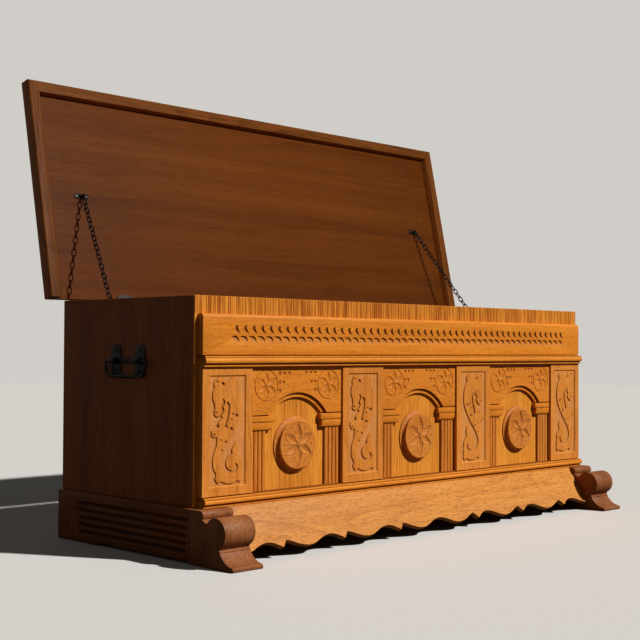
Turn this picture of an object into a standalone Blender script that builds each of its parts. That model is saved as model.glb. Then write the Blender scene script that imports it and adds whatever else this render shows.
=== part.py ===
"""Carved oak chest with an open lid, built as separate boards, mouldings, ironwork and chains.

Metres, +Z up, front towards -Y. The floor is at z = 0, and x = 0 is the middle of the chest.
Run with: blender --background --python part.py
"""

import math

import bmesh
import bpy
from mathutils import Matrix, Vector


# Driving dimensions: clearances and edges
fit_gap = 0.0003
cut_overrun = 0.002
board_edge = 0.0012
fine_edge = 0.0004

# Driving dimensions: carcass
carcass_width = 1.549
carcass_depth = 0.538
carcass_top = 0.612
side_thickness = 0.019
front_thickness = 0.020
back_thickness = 0.016
bottom_thickness = 0.012
bottom_rise = 0.028
cleat_size = 0.022

# Driving dimensions: plinth
plinth_height = 0.125
plinth_reveal = 0.012
runner_thickness = 0.032
runner_lift = 0.007
rear_pad_length = 0.176
back_plinth_thickness = 0.020
foot_width = 0.090
ledge_reach = 0.039
lobe_radius = 0.0112
notch_reach = 0.0565
notch_height = 0.0995
bulge_reach = 0.0925
bulge_height = 0.0795
bulge_radius = 0.0345
bead_reach = 0.106
bead_height = 0.038
bead_radius = 0.0052
toe_reach = 0.154
toe_height = 0.010

# Driving dimensions: front apron
apron_top_reach = 0.027
apron_low_reach = 0.093
apron_thickness = 0.016
apron_edge_drop = 0.0075
scallop_low = 0.024
scallop_rise = 0.017
scallop_pitch = 0.207
scallop_start = 0.162

# Driving dimensions: applied front
facade_width = 1.5277
facade_thickness = 0.018
facade_drop = 0.042
frieze_round = 0.008
upper_moulding_top = 0.4745
upper_moulding_height = 0.0272
lower_moulding_height = 0.0245
moulding_proud = 0.013
moulding_fillet = 0.0055
moulding_band = 0.0055
moulding_lip_reach = 0.0245
moulding_groove = 0.0035
pilaster_width = 0.1517
pilaster_border = 0.0195
pilaster_sink = 0.003
arch_thickness = 0.013
arch_spring_height = 0.331
arch_centre_height = 0.260
arch_radius = 0.123
arch_step_width = 0.0114
arch_step_depth = 0.006
column_width = 0.052
column_thickness = 0.0075
column_groove = 0.0030
column_reeds = 4
column_inset = 0.002
capital_width = 0.0744
capital_height = 0.0365
capital_fillet = 0.0178
capital_reach = 0.0128
capital_foot_reach = 0.0090
rosette_height = 0.255
rosette_radius = 0.070
rosette_face_radius = 0.0585
rosette_thickness = 0.015
rosette_base = 0.003
rosette_lip = 0.0035
rosette_rim = 0.005
rosette_dish = 0.0015

# Driving dimensions: lid
lid_width = 1.645
lid_reach = 0.598
lid_panel_thickness = 0.0142
rail_width = 0.031
rail_drop = 0.0236
rail_round = 0.006
lid_open_angle = math.radians(102.1)

# Driving dimensions: lid hinges
hinge_offset = 0.005
hinge_station = 0.577
hinge_length = 0.050
leaf_height = 0.021
leaf_thickness = 0.0018
knuckle_radius = 0.0034
knuckle_count = 5
hinge_pin_radius = 0.0015
hinge_pin_head = 0.0012
hinge_web_drop = 0.0045

# Driving dimensions: side handles
handle_height = 0.459
handle_set_forward = 0.016
handle_eye_spacing = 0.098
handle_plate_thickness = 0.0025
handle_lobe_width = 0.040
handle_lobe_height = 0.084
handle_bridge_height = 0.016
eye_radius = 0.0075
eye_length = 0.018
eye_stand_off = 0.0105
bail_radius = 0.0036
bail_clearance = 0.0004
bail_half_width = 0.081
bail_drop = 0.038
bail_corner = 0.0235

# Driving dimensions: lid chains
chain_station = 0.681
chain_lid_reach = 0.292
chain_lean = math.radians(35.55)
chain_wire = 0.003
link_inner_length = 0.0155
link_inner_width = 0.0056
link_pitch = 0.016
upper_links = 17
lower_links = 12
chain_jog = 0.012
staple_length = 0.044
staple_depth = 0.014
staple_plate = 0.002
staple_drop = 0.0085
staple_half_span = 0.009
staple_bar_radius = 0.002
anchor_flange = 0.004
anchor_flange_radius = 0.006
anchor_shank_radius = 0.0022
anchor_side_play = 0.0004
anchor_head_radius = 0.0055
anchor_head_thickness = 0.0026

# Finishes: base colour, roughness, metallic
oak_front = ((0.60, 0.31, 0.12), 0.50, 0.0)
oak_carved = ((0.56, 0.28, 0.10), 0.52, 0.0)
oak_side = ((0.33, 0.13, 0.055), 0.50, 0.0)
oak_lid = ((0.52, 0.24, 0.09), 0.45, 0.0)
oak_rail = ((0.38, 0.14, 0.055), 0.42, 0.0)
black_iron = ((0.030, 0.028, 0.027), 0.55, 0.8)
bright_steel = ((0.52, 0.50, 0.46), 0.35, 1.0)

# Derived sizes
half_width = carcass_width / 2
half_inner = half_width - side_thickness
plinth_half = half_width + plinth_reveal
runner_inner = plinth_half - runner_thickness
foot_inner = plinth_half - foot_width
carcass_base = plinth_height + fit_gap
carcass_height = carcass_top - carcass_base
bay_width = (facade_width - 4 * pilaster_width) / 3
facade_top = carcass_top - facade_drop
lower_moulding_top = carcass_base + lower_moulding_height
upper_moulding_low = upper_moulding_top - upper_moulding_height
bay_low = lower_moulding_top + fit_gap
bay_top = upper_moulding_low - fit_gap
lid_half = lid_width / 2
front_extent = carcass_depth + toe_reach
rear_extent = (hinge_offset + lid_reach * math.sin(lid_open_angle - math.pi / 2)
               + lid_panel_thickness * math.cos(lid_open_angle - math.pi / 2))

# World place of the carcass: its back face and its front face, about the middle of the whole box
back_y = (front_extent - rear_extent) / 2
front_y = back_y - carcass_depth
side_front_y = front_y + front_thickness + fit_gap
hinge_y = back_y + hinge_offset


# Start from an empty scene
for old in list(bpy.data.objects):
    bpy.data.objects.remove(old, do_unlink=True)


def give_finish(piece, finish):
    """Give a piece its own Principled material."""
    colour, roughness, metallic = finish
    material = bpy.data.materials.new(piece.name + "_finish")
    material.use_nodes = True
    shader = material.node_tree.nodes["Principled BSDF"]
    shader.inputs["Base Color"].default_value = (*colour, 1.0)
    shader.inputs["Roughness"].default_value = roughness
    shader.inputs["Metallic"].default_value = metallic
    piece.data.materials.clear()
    piece.data.materials.append(material)


def new_piece(name, bm, finish=None):
    """Turn a bmesh into a named object, with every face turned outwards."""
    bmesh.ops.recalc_face_normals(bm, faces=bm.faces)
    mesh = bpy.data.meshes.new(name)
    bm.to_mesh(mesh)
    bm.free()
    piece = bpy.data.objects.new(name, mesh)
    bpy.context.scene.collection.objects.link(piece)
    if finish:
        give_finish(piece, finish)
    return piece


def soften(piece, width, segments=1):
    """Take the sharpness off a piece's corners."""
    bevel = piece.modifiers.new("Eased edges", "BEVEL")
    bevel.width = width
    bevel.segments = segments
    bevel.limit_method = "ANGLE"
    bevel.angle_limit = math.radians(40)
    return piece


def smooth(piece, angle=math.radians(35)):
    """Shade a round piece smooth and keep its real corners sharp."""
    piece.data.shade_smooth()
    piece.data.set_sharp_from_angle(angle=angle)
    return piece


def pivot(name, location, parent=None, turn=0.0):
    """An empty on a joint's axis."""
    empty = bpy.data.objects.new(name, None)
    empty.location = location
    empty.rotation_euler = (turn, 0.0, 0.0)
    empty.parent = parent
    bpy.context.scene.collection.objects.link(empty)
    return empty


def place(axis, u, v, w):
    """A point from outline coordinates u, v and the place w along the extruded axis."""
    return {"x": (w, u, v), "y": (u, w, v), "z": (u, v, w)}[axis]


def prism_mesh(outline, axis, start, end):
    """A bmesh of a flat outline drawn out from start to end along one axis."""
    bm = bmesh.new()
    near = [bm.verts.new(place(axis, u, v, start)) for u, v in outline]
    far = [bm.verts.new(place(axis, u, v, end)) for u, v in outline]
    bm.faces.new(near)
    bm.faces.new(list(reversed(far)))
    for index in range(len(outline)):
        after = (index + 1) % len(outline)
        bm.faces.new((near[after], near[index], far[index], far[after]))
    return bm


def prism(name, outline, axis, start, end, finish=None):
    return new_piece(name, prism_mesh(outline, axis, start, end), finish)


def block(name, x0, x1, y0, y1, z0, z1, finish=None, edge=board_edge):
    """A plain board with eased edges."""
    piece = prism(name, [(x0, y0), (x1, y0), (x1, y1), (x0, y1)], "z", z0, z1, finish)
    return soften(piece, edge) if edge else piece


def arc(centre_u, centre_v, radius, start, end, steps):
    """Points along an arc, angles in degrees, both ends included."""
    turns = [math.radians(start + (end - start) * n / steps) for n in range(steps + 1)]
    return [(centre_u + radius * math.cos(t), centre_v + radius * math.sin(t)) for t in turns]


def turned(name, profile, steps, finish=None, along="y"):
    """A solid of revolution from (radius, height) pairs that start and end on the axis."""
    bm = bmesh.new()
    rings = []
    for radius, height in profile:
        if radius == 0:
            rings.append([bm.verts.new((0, 0, height))])
            continue
        angles = [2 * math.pi * n / steps for n in range(steps)]
        rings.append([bm.verts.new((radius * math.cos(a), radius * math.sin(a), height)) for a in angles])
    for low, high in zip(rings, rings[1:]):
        for n in range(steps):
            after = (n + 1) % steps
            corners = []
            for vert in (low[n % len(low)], low[after % len(low)],
                         high[after % len(high)], high[n % len(high)]):
                if vert not in corners:
                    corners.append(vert)
            bm.faces.new(corners)
    if along == "y":
        bm.transform(Matrix.Rotation(math.pi / 2, 4, "X"))
    if along == "x":
        bm.transform(Matrix.Rotation(math.pi / 2, 4, "Y"))
    return new_piece(name, bm, finish)


def rod_mesh(points, radius, sides, closed=False, flat_normal=(1, 0, 0)):
    """A round bar along points that lie in one plane, whose normal is flat_normal."""
    bm = bmesh.new()
    normal = Vector(flat_normal).normalized()
    path = [Vector(p) for p in points]
    rings = []
    for n, here in enumerate(path):
        if closed:
            before, after = path[n - 1], path[(n + 1) % len(path)]
        else:
            before, after = path[max(n - 1, 0)], path[min(n + 1, len(path) - 1)]
        along = (after - before).normalized()
        side = along.cross(normal).normalized()
        stretch = 1.0
        if before != here and after != here:
            bend = (here - before).normalized().dot((after - here).normalized())
            stretch = 1 / math.sqrt((1 + bend) / 2)
        ring = []
        for k in range(sides):
            turn = 2 * math.pi * k / sides
            offset = side * (math.cos(turn) * radius * stretch) + normal * (math.sin(turn) * radius)
            ring.append(bm.verts.new(here + offset))
        rings.append(ring)
    pairs = list(zip(rings, rings[1:]))
    if closed:
        pairs.append((rings[-1], rings[0]))
    for low, high in pairs:
        for k in range(sides):
            after = (k + 1) % sides
            bm.faces.new((low[k], low[after], high[after], high[k]))
    if not closed:
        bm.faces.new(rings[0])
        bm.faces.new(list(reversed(rings[-1])))
    return bm


def combine(piece, other, operation):
    """Join or cut one solid with another, and drop the other."""
    change = piece.modifiers.new(operation.title(), "BOOLEAN")
    change.operation = operation
    change.solver = "EXACT"
    change.object = other
    evaluated = piece.evaluated_get(bpy.context.evaluated_depsgraph_get())
    mesh = bpy.data.meshes.new_from_object(evaluated)
    piece.modifiers.remove(change)
    piece.data = mesh
    bpy.data.objects.remove(other, do_unlink=True)
    return piece


def carcass():
    """Side panels, front board, back panel, bottom board and the cleats that carry it."""
    for side, sign in (("left", -1), ("right", 1)):
        outer, inner = sorted((sign * half_width, sign * half_inner))
        block(side + "_side_panel", outer, inner, side_front_y, back_y, carcass_base, carcass_top, oak_side)
        cleat_out, cleat_in = sorted((sign * (half_inner - fit_gap), sign * (half_inner - cleat_size)))
        cleat_top = carcass_base + bottom_rise - fit_gap
        block(side + "_bottom_cleat", cleat_out, cleat_in, side_front_y + fit_gap,
              back_y - back_thickness - 2 * fit_gap, cleat_top - cleat_size, cleat_top, oak_side)
    block("front_board", -half_width, half_width, front_y, front_y + front_thickness,
          carcass_base, carcass_top, oak_front)
    between = half_inner - fit_gap
    back = block("back_panel", -between, between, back_y - back_thickness, back_y,
                 carcass_base, carcass_top, oak_side, edge=0)
    for sign in (-1, 1):
        recess = block("leaf_recess", sign * hinge_station - hinge_length / 2 - fit_gap,
                       sign * hinge_station + hinge_length / 2 + fit_gap,
                       back_y - back_thickness - cut_overrun, back_y + cut_overrun,
                       carcass_top - leaf_thickness - fit_gap, carcass_top + cut_overrun, edge=0)
        combine(back, recess, "DIFFERENCE")
    give_finish(back, oak_side)
    low = carcass_base + bottom_rise
    block("bottom_board", -between, between, side_front_y, back_y - back_thickness - fit_gap,
          low, low + bottom_thickness, oak_side)


def foot_outline():
    """The front foot from the side: reach in front of the carcass, height above the floor."""
    points = [(fit_gap, plinth_height)]
    points += arc(ledge_reach, plinth_height - lobe_radius, lobe_radius, 90, -50, 7)
    points.append((notch_reach, notch_height))
    points += arc(bulge_reach, bulge_height, bulge_radius, 145, -62, 14)
    points += arc(bead_reach, bead_height, bead_radius, 70, -70, 5)
    flare_top = bead_height - bead_radius
    flare_reach = toe_reach - bead_reach
    flare_drop = flare_top - toe_height
    curve_share = ((0.16, 0.34), (0.34, 0.62), (0.56, 0.83), (0.80, 0.95))
    points += [(bead_reach + flare_reach * u, flare_top - flare_drop * v) for u, v in curve_share]
    points += [(toe_reach, toe_height / 2), (toe_reach - toe_height / 4, 0), (fit_gap, 0)]
    return points


def scallop_edge():
    """Lower edge of the apron from the middle outwards: place and height of each point."""
    wave_share = ((0.00, 0.00), (0.05, 0.42), (0.10, 0.74), (0.16, 0.95), (0.22, 1.00), (0.30, 0.90),
                  (0.38, 0.62), (0.46, 0.27), (0.53, 0.06), (0.60, 0.00), (0.68, 0.12), (0.76, 0.38),
                  (0.83, 0.69), (0.885, 0.90), (0.925, 1.00))
    end = foot_inner - fit_gap
    points = []
    wave = -1
    while scallop_start + wave * scallop_pitch < end:
        for u, v in wave_share:
            points.append((scallop_start + (wave + u) * scallop_pitch, scallop_low + v * scallop_rise))
        wave += 1
    middle = [p for p in points if p[0] <= 0][-1]
    kept = [p for p in points if 0 < p[0] < end]
    return [(0, middle[1])] + kept + [(end, kept[-1][1])]


def plinth():
    """Runners, back board, front apron and the two scroll feet."""
    front_end = front_y
    for side, sign in (("left", -1), ("right", 1)):
        pad = back_y - rear_pad_length
        outline = [(front_end, runner_lift), (pad, runner_lift), (pad, 0), (back_y, 0),
                   (back_y, plinth_height), (front_end, plinth_height)]
        low, high = sorted((sign * plinth_half, sign * runner_inner))
        soften(prism(side + "_runner", outline, "x", low, high, oak_side), board_edge)
        profile = [(front_y - reach, height) for reach, height in foot_outline()]
        low, high = sorted((sign * plinth_half, sign * foot_inner))
        foot = prism(side + "_foot", profile, "x", low, high, oak_side)
        soften(smooth(foot), board_edge)
    inner = runner_inner - fit_gap
    block("back_plinth", -inner, inner, back_y - back_plinth_thickness, back_y,
          runner_lift, plinth_height, oak_side)
    half_edge = scallop_edge()
    top_end = (foot_inner - fit_gap, plinth_height)
    right = half_edge + [top_end]
    left = [(-x, z) for x, z in reversed(right)]
    outline = left[:-1] + right
    face = front_y - apron_top_reach
    bm = prism_mesh(outline, "y", face, face + apron_thickness)
    lean = (apron_low_reach - apron_top_reach) / (plinth_height - scallop_low)
    for vert in bm.verts:
        # The scalloped edge is sawn square to the leaning board, so it is lower behind.
        if vert.co.y > face + apron_thickness / 2 and vert.co.z < plinth_height:
            vert.co.z -= apron_edge_drop
        vert.co.y -= (plinth_height - vert.co.z) * lean
    soften(new_piece("front_apron", bm, oak_front), board_edge)


def moulding_profile(low, height, ovolo_above):
    """A moulding's section: reach in front of the carcass, height, with the ovolo up or down."""
    face = facade_thickness + moulding_proud
    neck = face - moulding_groove
    round_low = moulding_band + moulding_groove
    round_top = height - moulding_fillet
    swell = (round_top - round_low) / 2
    quirk = moulding_groove / 2
    points = [(fit_gap, 0), (moulding_lip_reach, 0), (moulding_lip_reach, moulding_band),
              (moulding_lip_reach - quirk, moulding_band + quirk)]
    bulge = arc(neck, round_low + swell, swell, -90, 90, 8)
    points += [(neck + (u - neck) * (moulding_groove / swell), v) for u, v in bulge]
    points += [(neck, round_top), (neck, height), (fit_gap, height)]
    if not ovolo_above:
        points = [(u, height - v) for u, v in reversed(points)]
    return [(front_y - u, low + v) for u, v in points]


def frieze_and_mouldings():
    half = facade_width / 2
    low = upper_moulding_top + fit_gap
    face = front_y - facade_thickness
    round_over = arc(face + frieze_round, facade_top - frieze_round, frieze_round, 90, 180, 5)
    outline = [(front_y - fit_gap, low), (front_y - fit_gap, facade_top)] + round_over + [(face, low)]
    soften(prism("frieze_board", outline, "x", -half, half, oak_front), board_edge)
    for name, base, height in (("upper_moulding", upper_moulding_low, upper_moulding_height),
                               ("lower_moulding", carcass_base, lower_moulding_height)):
        outline = moulding_profile(base, height, ovolo_above=True)
        piece = prism(name, outline, "x", -half, half, oak_front)
        soften(smooth(piece), fine_edge)


def pilaster(name, left_edge):
    """An upright board whose field is sunk inside a plain border."""
    outline = [(left_edge + fit_gap / 2, bay_low), (left_edge + pilaster_width - fit_gap / 2, bay_low),
               (left_edge + pilaster_width - fit_gap / 2, bay_top), (left_edge + fit_gap / 2, bay_top)]
    bm = prism_mesh(outline, "y", front_y - fit_gap, front_y - facade_thickness)
    bmesh.ops.recalc_face_normals(bm, faces=bm.faces)
    front = [face for face in bm.faces if face.normal.y < -0.5]
    bmesh.ops.inset_region(bm, faces=front, thickness=pilaster_border)
    bmesh.ops.inset_region(bm, faces=front, thickness=pilaster_sink, depth=-pilaster_sink)
    new_piece(name, bm, oak_carved)


def arch_panel(name, left_edge):
    """The board over a bay, cut by a stepped segmental arch."""
    centre = left_edge + bay_width / 2
    piece = block(name, left_edge + fit_gap / 2, left_edge + bay_width - fit_gap / 2,
                  front_y - arch_thickness, front_y - fit_gap, arch_spring_height, bay_top, edge=0)
    cuts = ((arch_radius - arch_step_width, front_y + cut_overrun),
            (arch_radius, front_y - arch_thickness + arch_step_depth))
    for radius, depth in cuts:
        outline = arc(centre, arch_centre_height, radius, 0, 352.5, 47)
        cutter = prism("arch_cutter", outline, "y", front_y - arch_thickness - cut_overrun, depth)
        combine(piece, cutter, "DIFFERENCE")
    give_finish(piece, oak_carved)


def rosette(name, centre):
    """A turned boss: low base, cove, lip and a slightly dished face."""
    cove_top = rosette_thickness - rosette_lip
    cove_share = ((0.0, 0.0), (0.30, 0.08), (0.58, 0.26), (0.80, 0.52), (0.94, 0.78), (1.0, 1.0))
    cove_run = rosette_radius - rosette_face_radius
    profile = [(0, fit_gap), (rosette_radius, fit_gap), (rosette_radius, rosette_base)]
    profile += [(rosette_radius - cove_run * u, rosette_base + (cove_top - rosette_base) * v)
                for u, v in cove_share[1:]]
    lip_radius = rosette_face_radius + rosette_dish
    profile += [(lip_radius, cove_top), (lip_radius, rosette_thickness - rosette_dish),
                (rosette_face_radius, rosette_thickness),
                (rosette_face_radius - rosette_rim, rosette_thickness),
                (rosette_face_radius - rosette_rim - rosette_dish, rosette_thickness - rosette_dish),
                (0, rosette_thickness - rosette_dish)]
    piece = smooth(turned(name, profile, 32, oak_carved))
    piece.location = (centre, front_y, rosette_height)


def column_outline(centre):
    """Plan of a reeded half column: four rounds side by side on a thin back."""
    pitch = column_width / column_reeds
    points = []
    for reed in range(column_reeds):
        middle = centre + (reed - (column_reeds - 1) / 2) * pitch
        for u, v in arc(middle, 0, pitch / 2, 180, 0, 6)[:-1]:
            points.append((u, front_y - (column_thickness - column_groove) - v * column_groove * 2 / pitch))
    right = centre + column_width / 2
    points.append((right, front_y - (column_thickness - column_groove)))
    return points + [(right, front_y - fit_gap), (centre - column_width / 2, front_y - fit_gap)]


def capital_profile():
    """Section of a capital: square fillet over an ovolo that draws in downwards."""
    top = arch_spring_height - fit_gap
    low = top - capital_height
    drop = capital_height - capital_fillet
    draw_in = capital_reach - capital_foot_reach
    ovolo_share = ((0.05, 0.00), (0.03, 0.25), (0.12, 0.50), (0.33, 0.74), (0.64, 0.92), (1.0, 1.0))
    points = [(fit_gap, low), (fit_gap, top), (capital_reach, top), (capital_reach, top - capital_fillet)]
    points += [(capital_reach - draw_in * u, top - capital_fillet - drop * v) for u, v in ovolo_share]
    return [(front_y - u, v) for u, v in points], low


def bays():
    """Four pilasters and, between them, three bays of arch, capitals, columns and rosette."""
    left = -facade_width / 2
    section, capital_low = capital_profile()
    piece_number = 0
    for number in range(4):
        pilaster(f"carved_pilaster_{number + 1}", left + number * (pilaster_width + bay_width))
    for number in range(3):
        bay_left = left + (number + 1) * pilaster_width + number * bay_width
        bay_right = bay_left + bay_width
        arch_panel(f"arch_panel_{number + 1}", bay_left)
        rosette(f"rosette_{number + 1}", (bay_left + bay_right) / 2)
        for sign, edge in ((1, bay_left), (-1, bay_right)):
            piece_number += 1
            centre = edge + sign * (column_inset + column_width / 2)
            column = prism(f"column_{piece_number}", column_outline(centre), "z",
                           bay_low, capital_low - fit_gap, oak_front)
            smooth(column, math.radians(50))
            low, high = sorted((edge + sign * column_inset / 2, edge + sign * capital_width))
            capital = prism(f"capital_{piece_number}", section, "x", low, high, oak_front)
            smooth(capital)


def lid():
    """Panel and three mitred rails, drawn closed in the frame of the hinge line, then opened."""
    hinge_line = pivot("lid_hinge_line", (0, hinge_y, carcass_top), turn=-lid_open_angle)
    inner_half = lid_half - rail_width
    inner_front = -(lid_reach - rail_width)
    back_edge = -hinge_offset
    panel = block("lid_panel", -inner_half + fit_gap, inner_half - fit_gap, inner_front + fit_gap,
                  back_edge, fit_gap, lid_panel_thickness, oak_lid)
    rails = [panel]
    for side, sign in (("left", -1), ("right", 1)):
        outline = [(sign * lid_half, back_edge), (sign * inner_half, back_edge),
                   (sign * inner_half, inner_front + fit_gap),
                   (sign * lid_half, inner_front - rail_width + fit_gap)]
        rails.append(prism(f"lid_{side}_rail", outline, "z", -rail_drop, lid_panel_thickness, oak_rail))
    front = [(-lid_half + fit_gap, -lid_reach), (lid_half - fit_gap, -lid_reach),
             (inner_half - fit_gap, inner_front), (-inner_half + fit_gap, inner_front)]
    rails.append(prism("lid_front_rail", front, "z", -rail_drop, lid_panel_thickness, oak_rail))
    for rail in rails[1:]:
        soften(rail, board_edge * 2, 2)
    for piece in rails:
        piece.parent = hinge_line
    return hinge_line


def knuckle_ends(index):
    """Both ends along the hinge of one knuckle, from its own middle."""
    size = hinge_length / knuckle_count
    start = -hinge_length / 2 + index * size
    return start + fit_gap / 2, start + size - fit_gap / 2


def hinge_leaf(name, knuckles, plate_outline, finish):
    """A leaf drawn at the pin: its plate and its own knuckles, bored for the pin."""
    half = hinge_length / 2
    piece = prism(name, plate_outline, "x", -half, half)
    others = [k for k in range(knuckle_count) if k not in knuckles]
    for index in others:
        start, end = knuckle_ends(index)
        clear = knuckle_radius + fit_gap
        slot = block("slot", start - fit_gap, end + fit_gap, -clear, clear, -clear, clear, edge=0)
        combine(piece, slot, "DIFFERENCE")
    for index in knuckles:
        start, end = knuckle_ends(index)
        barrel = prism("barrel", arc(0, 0, knuckle_radius, 0, 337.5, 15), "x", start, end)
        combine(piece, barrel, "UNION")
    bore = prism("bore", arc(0, 0, hinge_pin_radius + fit_gap, 0, 330, 11), "x",
                 -half - cut_overrun, half + cut_overrun)
    combine(piece, bore, "DIFFERENCE")
    give_finish(piece, finish)
    return piece


def hinges(hinge_line):
    """Two butt hinges: a leaf on the back panel, a leaf under the lid and a headed pin."""
    thick = leaf_thickness
    for side, sign in (("left", -1), ("right", 1)):
        outer = -hinge_offset + fit_gap
        seat = -thick - fit_gap
        body_plate = [(outer, seat), (outer, -leaf_height), (outer + thick, -leaf_height),
                      (outer + thick, -hinge_web_drop), (0, 2 * fit_gap - knuckle_radius), (0, seat)]
        leaf = hinge_leaf(f"{side}_hinge_body_leaf", (0, 2, 4), body_plate, bright_steel)
        leaf.location = (sign * hinge_station, hinge_y, carcass_top)
        lid_plate = [(-leaf_height, -thick), (0, -thick), (0, 0), (-leaf_height, 0)]
        leaf = hinge_leaf(f"{side}_hinge_lid_leaf", (1, 3), lid_plate, bright_steel)
        leaf.parent = hinge_line
        leaf.location = (sign * hinge_station, 0, 0)
        half = hinge_length / 2
        profile = [(0, -half), (hinge_pin_radius, -half), (hinge_pin_radius, half + fit_gap),
                   (knuckle_radius, half + fit_gap), (knuckle_radius, half + fit_gap + hinge_pin_head / 2),
                   (hinge_pin_radius, half + fit_gap + hinge_pin_head), (0, half + fit_gap + hinge_pin_head)]
        pin = smooth(turned(f"{side}_hinge_pin", profile, 12, bright_steel, along="x"))
        pin.location = (sign * hinge_station, hinge_y, carcass_top)


def handle_plate_outline(centre_y):
    """H-shaped plate: two lobes with pointed ends, joined by a narrow bridge."""
    half_spacing = handle_eye_spacing / 2
    wide = handle_lobe_width / 2
    tall = handle_lobe_height / 2
    bridge = handle_bridge_height / 2
    lobe_share = ((-1.0, 0.30), (-1.0, 0.72), (-0.45, 0.90), (0.0, 1.0), (0.45, 0.90), (1.0, 0.72), (1.0, 0.30))
    quarter = [(half_spacing - wide, bridge)]
    quarter += [(half_spacing + wide * u, tall * v) for u, v in lobe_share]
    right = quarter + [(u, -v) for u, v in reversed(quarter)]
    outline = right + [(-u, -v) for u, v in right]
    return [(centre_y + u, handle_height + v) for u, v in outline]


def side_handles():
    """On each side an H-shaped plate with two eyes, and a drop bail hanging in them."""
    middle_y = back_y - carcass_depth / 2 - handle_set_forward
    for side, sign in (("left", -1), ("right", 1)):
        face = sign * (half_width + fit_gap)
        outer = face + sign * handle_plate_thickness
        plate = prism(f"{side}_handle_plate", handle_plate_outline(middle_y), "x", face, outer)
        eye_x = sign * (half_width + eye_stand_off)
        for end in (-1, 1):
            eye_y = middle_y + end * handle_eye_spacing / 2
            root = face + sign * handle_plate_thickness / 2
            outline = [(root, handle_height - eye_radius)]
            outline += [(eye_x + sign * (u - eye_x), v)
                        for u, v in arc(eye_x, handle_height, eye_radius, -90, 90, 8)]
            outline.append((root, handle_height + eye_radius))
            eye = prism("eye", outline, "y", eye_y - eye_length / 2, eye_y + eye_length / 2)
            combine(plate, eye, "UNION")
        bore = prism("bore", arc(eye_x, handle_height, bail_radius + bail_clearance, 0, 330, 11), "y",
                     middle_y - bail_half_width, middle_y + bail_half_width)
        combine(plate, bore, "DIFFERENCE")
        give_finish(plate, black_iron)
        smooth(plate)
        bail(side, eye_x, middle_y)


def bail(side, eye_x, middle_y):
    """A U-shaped drop bail whose ends turn inwards into the eyes."""
    pin_inner = handle_eye_spacing / 2 - eye_length / 2
    wide = bail_half_width
    corner = bail_corner
    top_corner = bail_radius * 2
    right = [(pin_inner, 0)]
    right += arc(wide - top_corner, -top_corner, top_corner, 90, 0, 4)
    right += arc(wide - corner, -bail_drop + corner, corner, 0, -90, 6)
    path = right + [(-u, v) for u, v in reversed(right)]
    bm = rod_mesh([(0, u, v) for u, v in path], bail_radius, 8)
    piece = smooth(new_piece(f"{side}_bail", bm, black_iron))
    piece.location = (eye_x, middle_y, handle_height)


def link_mesh(bm, height, lies_across):
    """Add one oval link, centred on the chain's line at this height."""
    bend = (link_inner_width + chain_wire) / 2
    straight = (link_inner_length + chain_wire) / 2 - bend
    path = arc(0, straight, bend, 0, 180, 3) + arc(0, -straight, bend, 180, 360, 3)
    if lies_across:
        points = [(u, 0, height + v) for u, v in path]
        normal = (0, 1, 0)
    else:
        points = [(0, u, height + v) for u, v in path]
        normal = (1, 0, 0)
    ring = rod_mesh(points, chain_wire / 2, 5, closed=True, flat_normal=normal)
    loose = bpy.data.meshes.new("link")
    ring.to_mesh(loose)
    ring.free()
    bm.from_mesh(loose)
    bpy.data.meshes.remove(loose)


def chain_run(name, count, first_across, first_height, direction, drift, flat_part, finish):
    """A stiff run of links that hold each other, drawn along Z from its pivot and drifting in X."""
    ranks = []
    for across in (True, False):
        bm = bmesh.new()
        for n in range(count):
            if ((n % 2 == 0) == first_across) == across:
                link_mesh(bm, direction * (first_height + n * link_pitch), across)
        ranks.append(new_piece(name if across else "other_links", bm))
    run = combine(ranks[0], ranks[1], "UNION")
    for vert in run.data.vertices:
        vert.co.x += drift * max(0, abs(vert.co.z) - flat_part)
    give_finish(run, finish)
    return smooth(run)


def chains(hinge_line):
    """On each side a staple under the lid, an anchor screw and the chain between them."""
    half_link = link_inner_length / 2
    first_upper = half_link - fit_gap - staple_bar_radius
    first_lower = half_link - fit_gap - anchor_shank_radius
    knee = link_inner_length - fit_gap
    length = (first_upper + (upper_links - 1) * link_pitch + knee
              + (lower_links - 1) * link_pitch + first_lower)
    anchor_x = half_inner - fit_gap - anchor_flange - anchor_side_play - chain_wire / 2
    drift = (anchor_x - chain_station - chain_jog) / (length - link_pitch)
    bar_place = Vector((0, -chain_lid_reach, -staple_drop))
    turned_bar = Matrix.Rotation(-lid_open_angle, 4, "X") @ bar_place
    bar_y = hinge_y + turned_bar.y
    bar_z = carcass_top + turned_bar.z
    anchor_y = bar_y - length * math.sin(chain_lean)
    anchor_z = bar_z - length * math.cos(chain_lean)
    for side, sign in (("left", -1), ("right", 1)):
        station = sign * chain_station
        staple(side, station, hinge_line)
        upper = chain_run(f"{side}_chain_upper", upper_links, False, first_upper, -1,
                          sign * drift, 0, black_iron)
        upper.parent = hinge_line
        upper.location = (station, bar_place.y, bar_place.z)
        upper.rotation_euler = (lid_open_angle - chain_lean, 0, 0)
        anchor_screw(side, sign, anchor_y, anchor_z)
        lower_first_across = (upper_links + lower_links - 1) % 2 == 1
        lower = chain_run(f"{side}_chain_lower", lower_links, lower_first_across, first_lower, 1,
                          -sign * drift, link_pitch, black_iron)
        lower.location = (sign * anchor_x, anchor_y, anchor_z)
        lower.rotation_euler = (-chain_lean, 0, 0)
    print(f"chain from staple to anchor {length:.4f} m, anchor at y {anchor_y:.4f}, z {anchor_z:.4f}")


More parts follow.
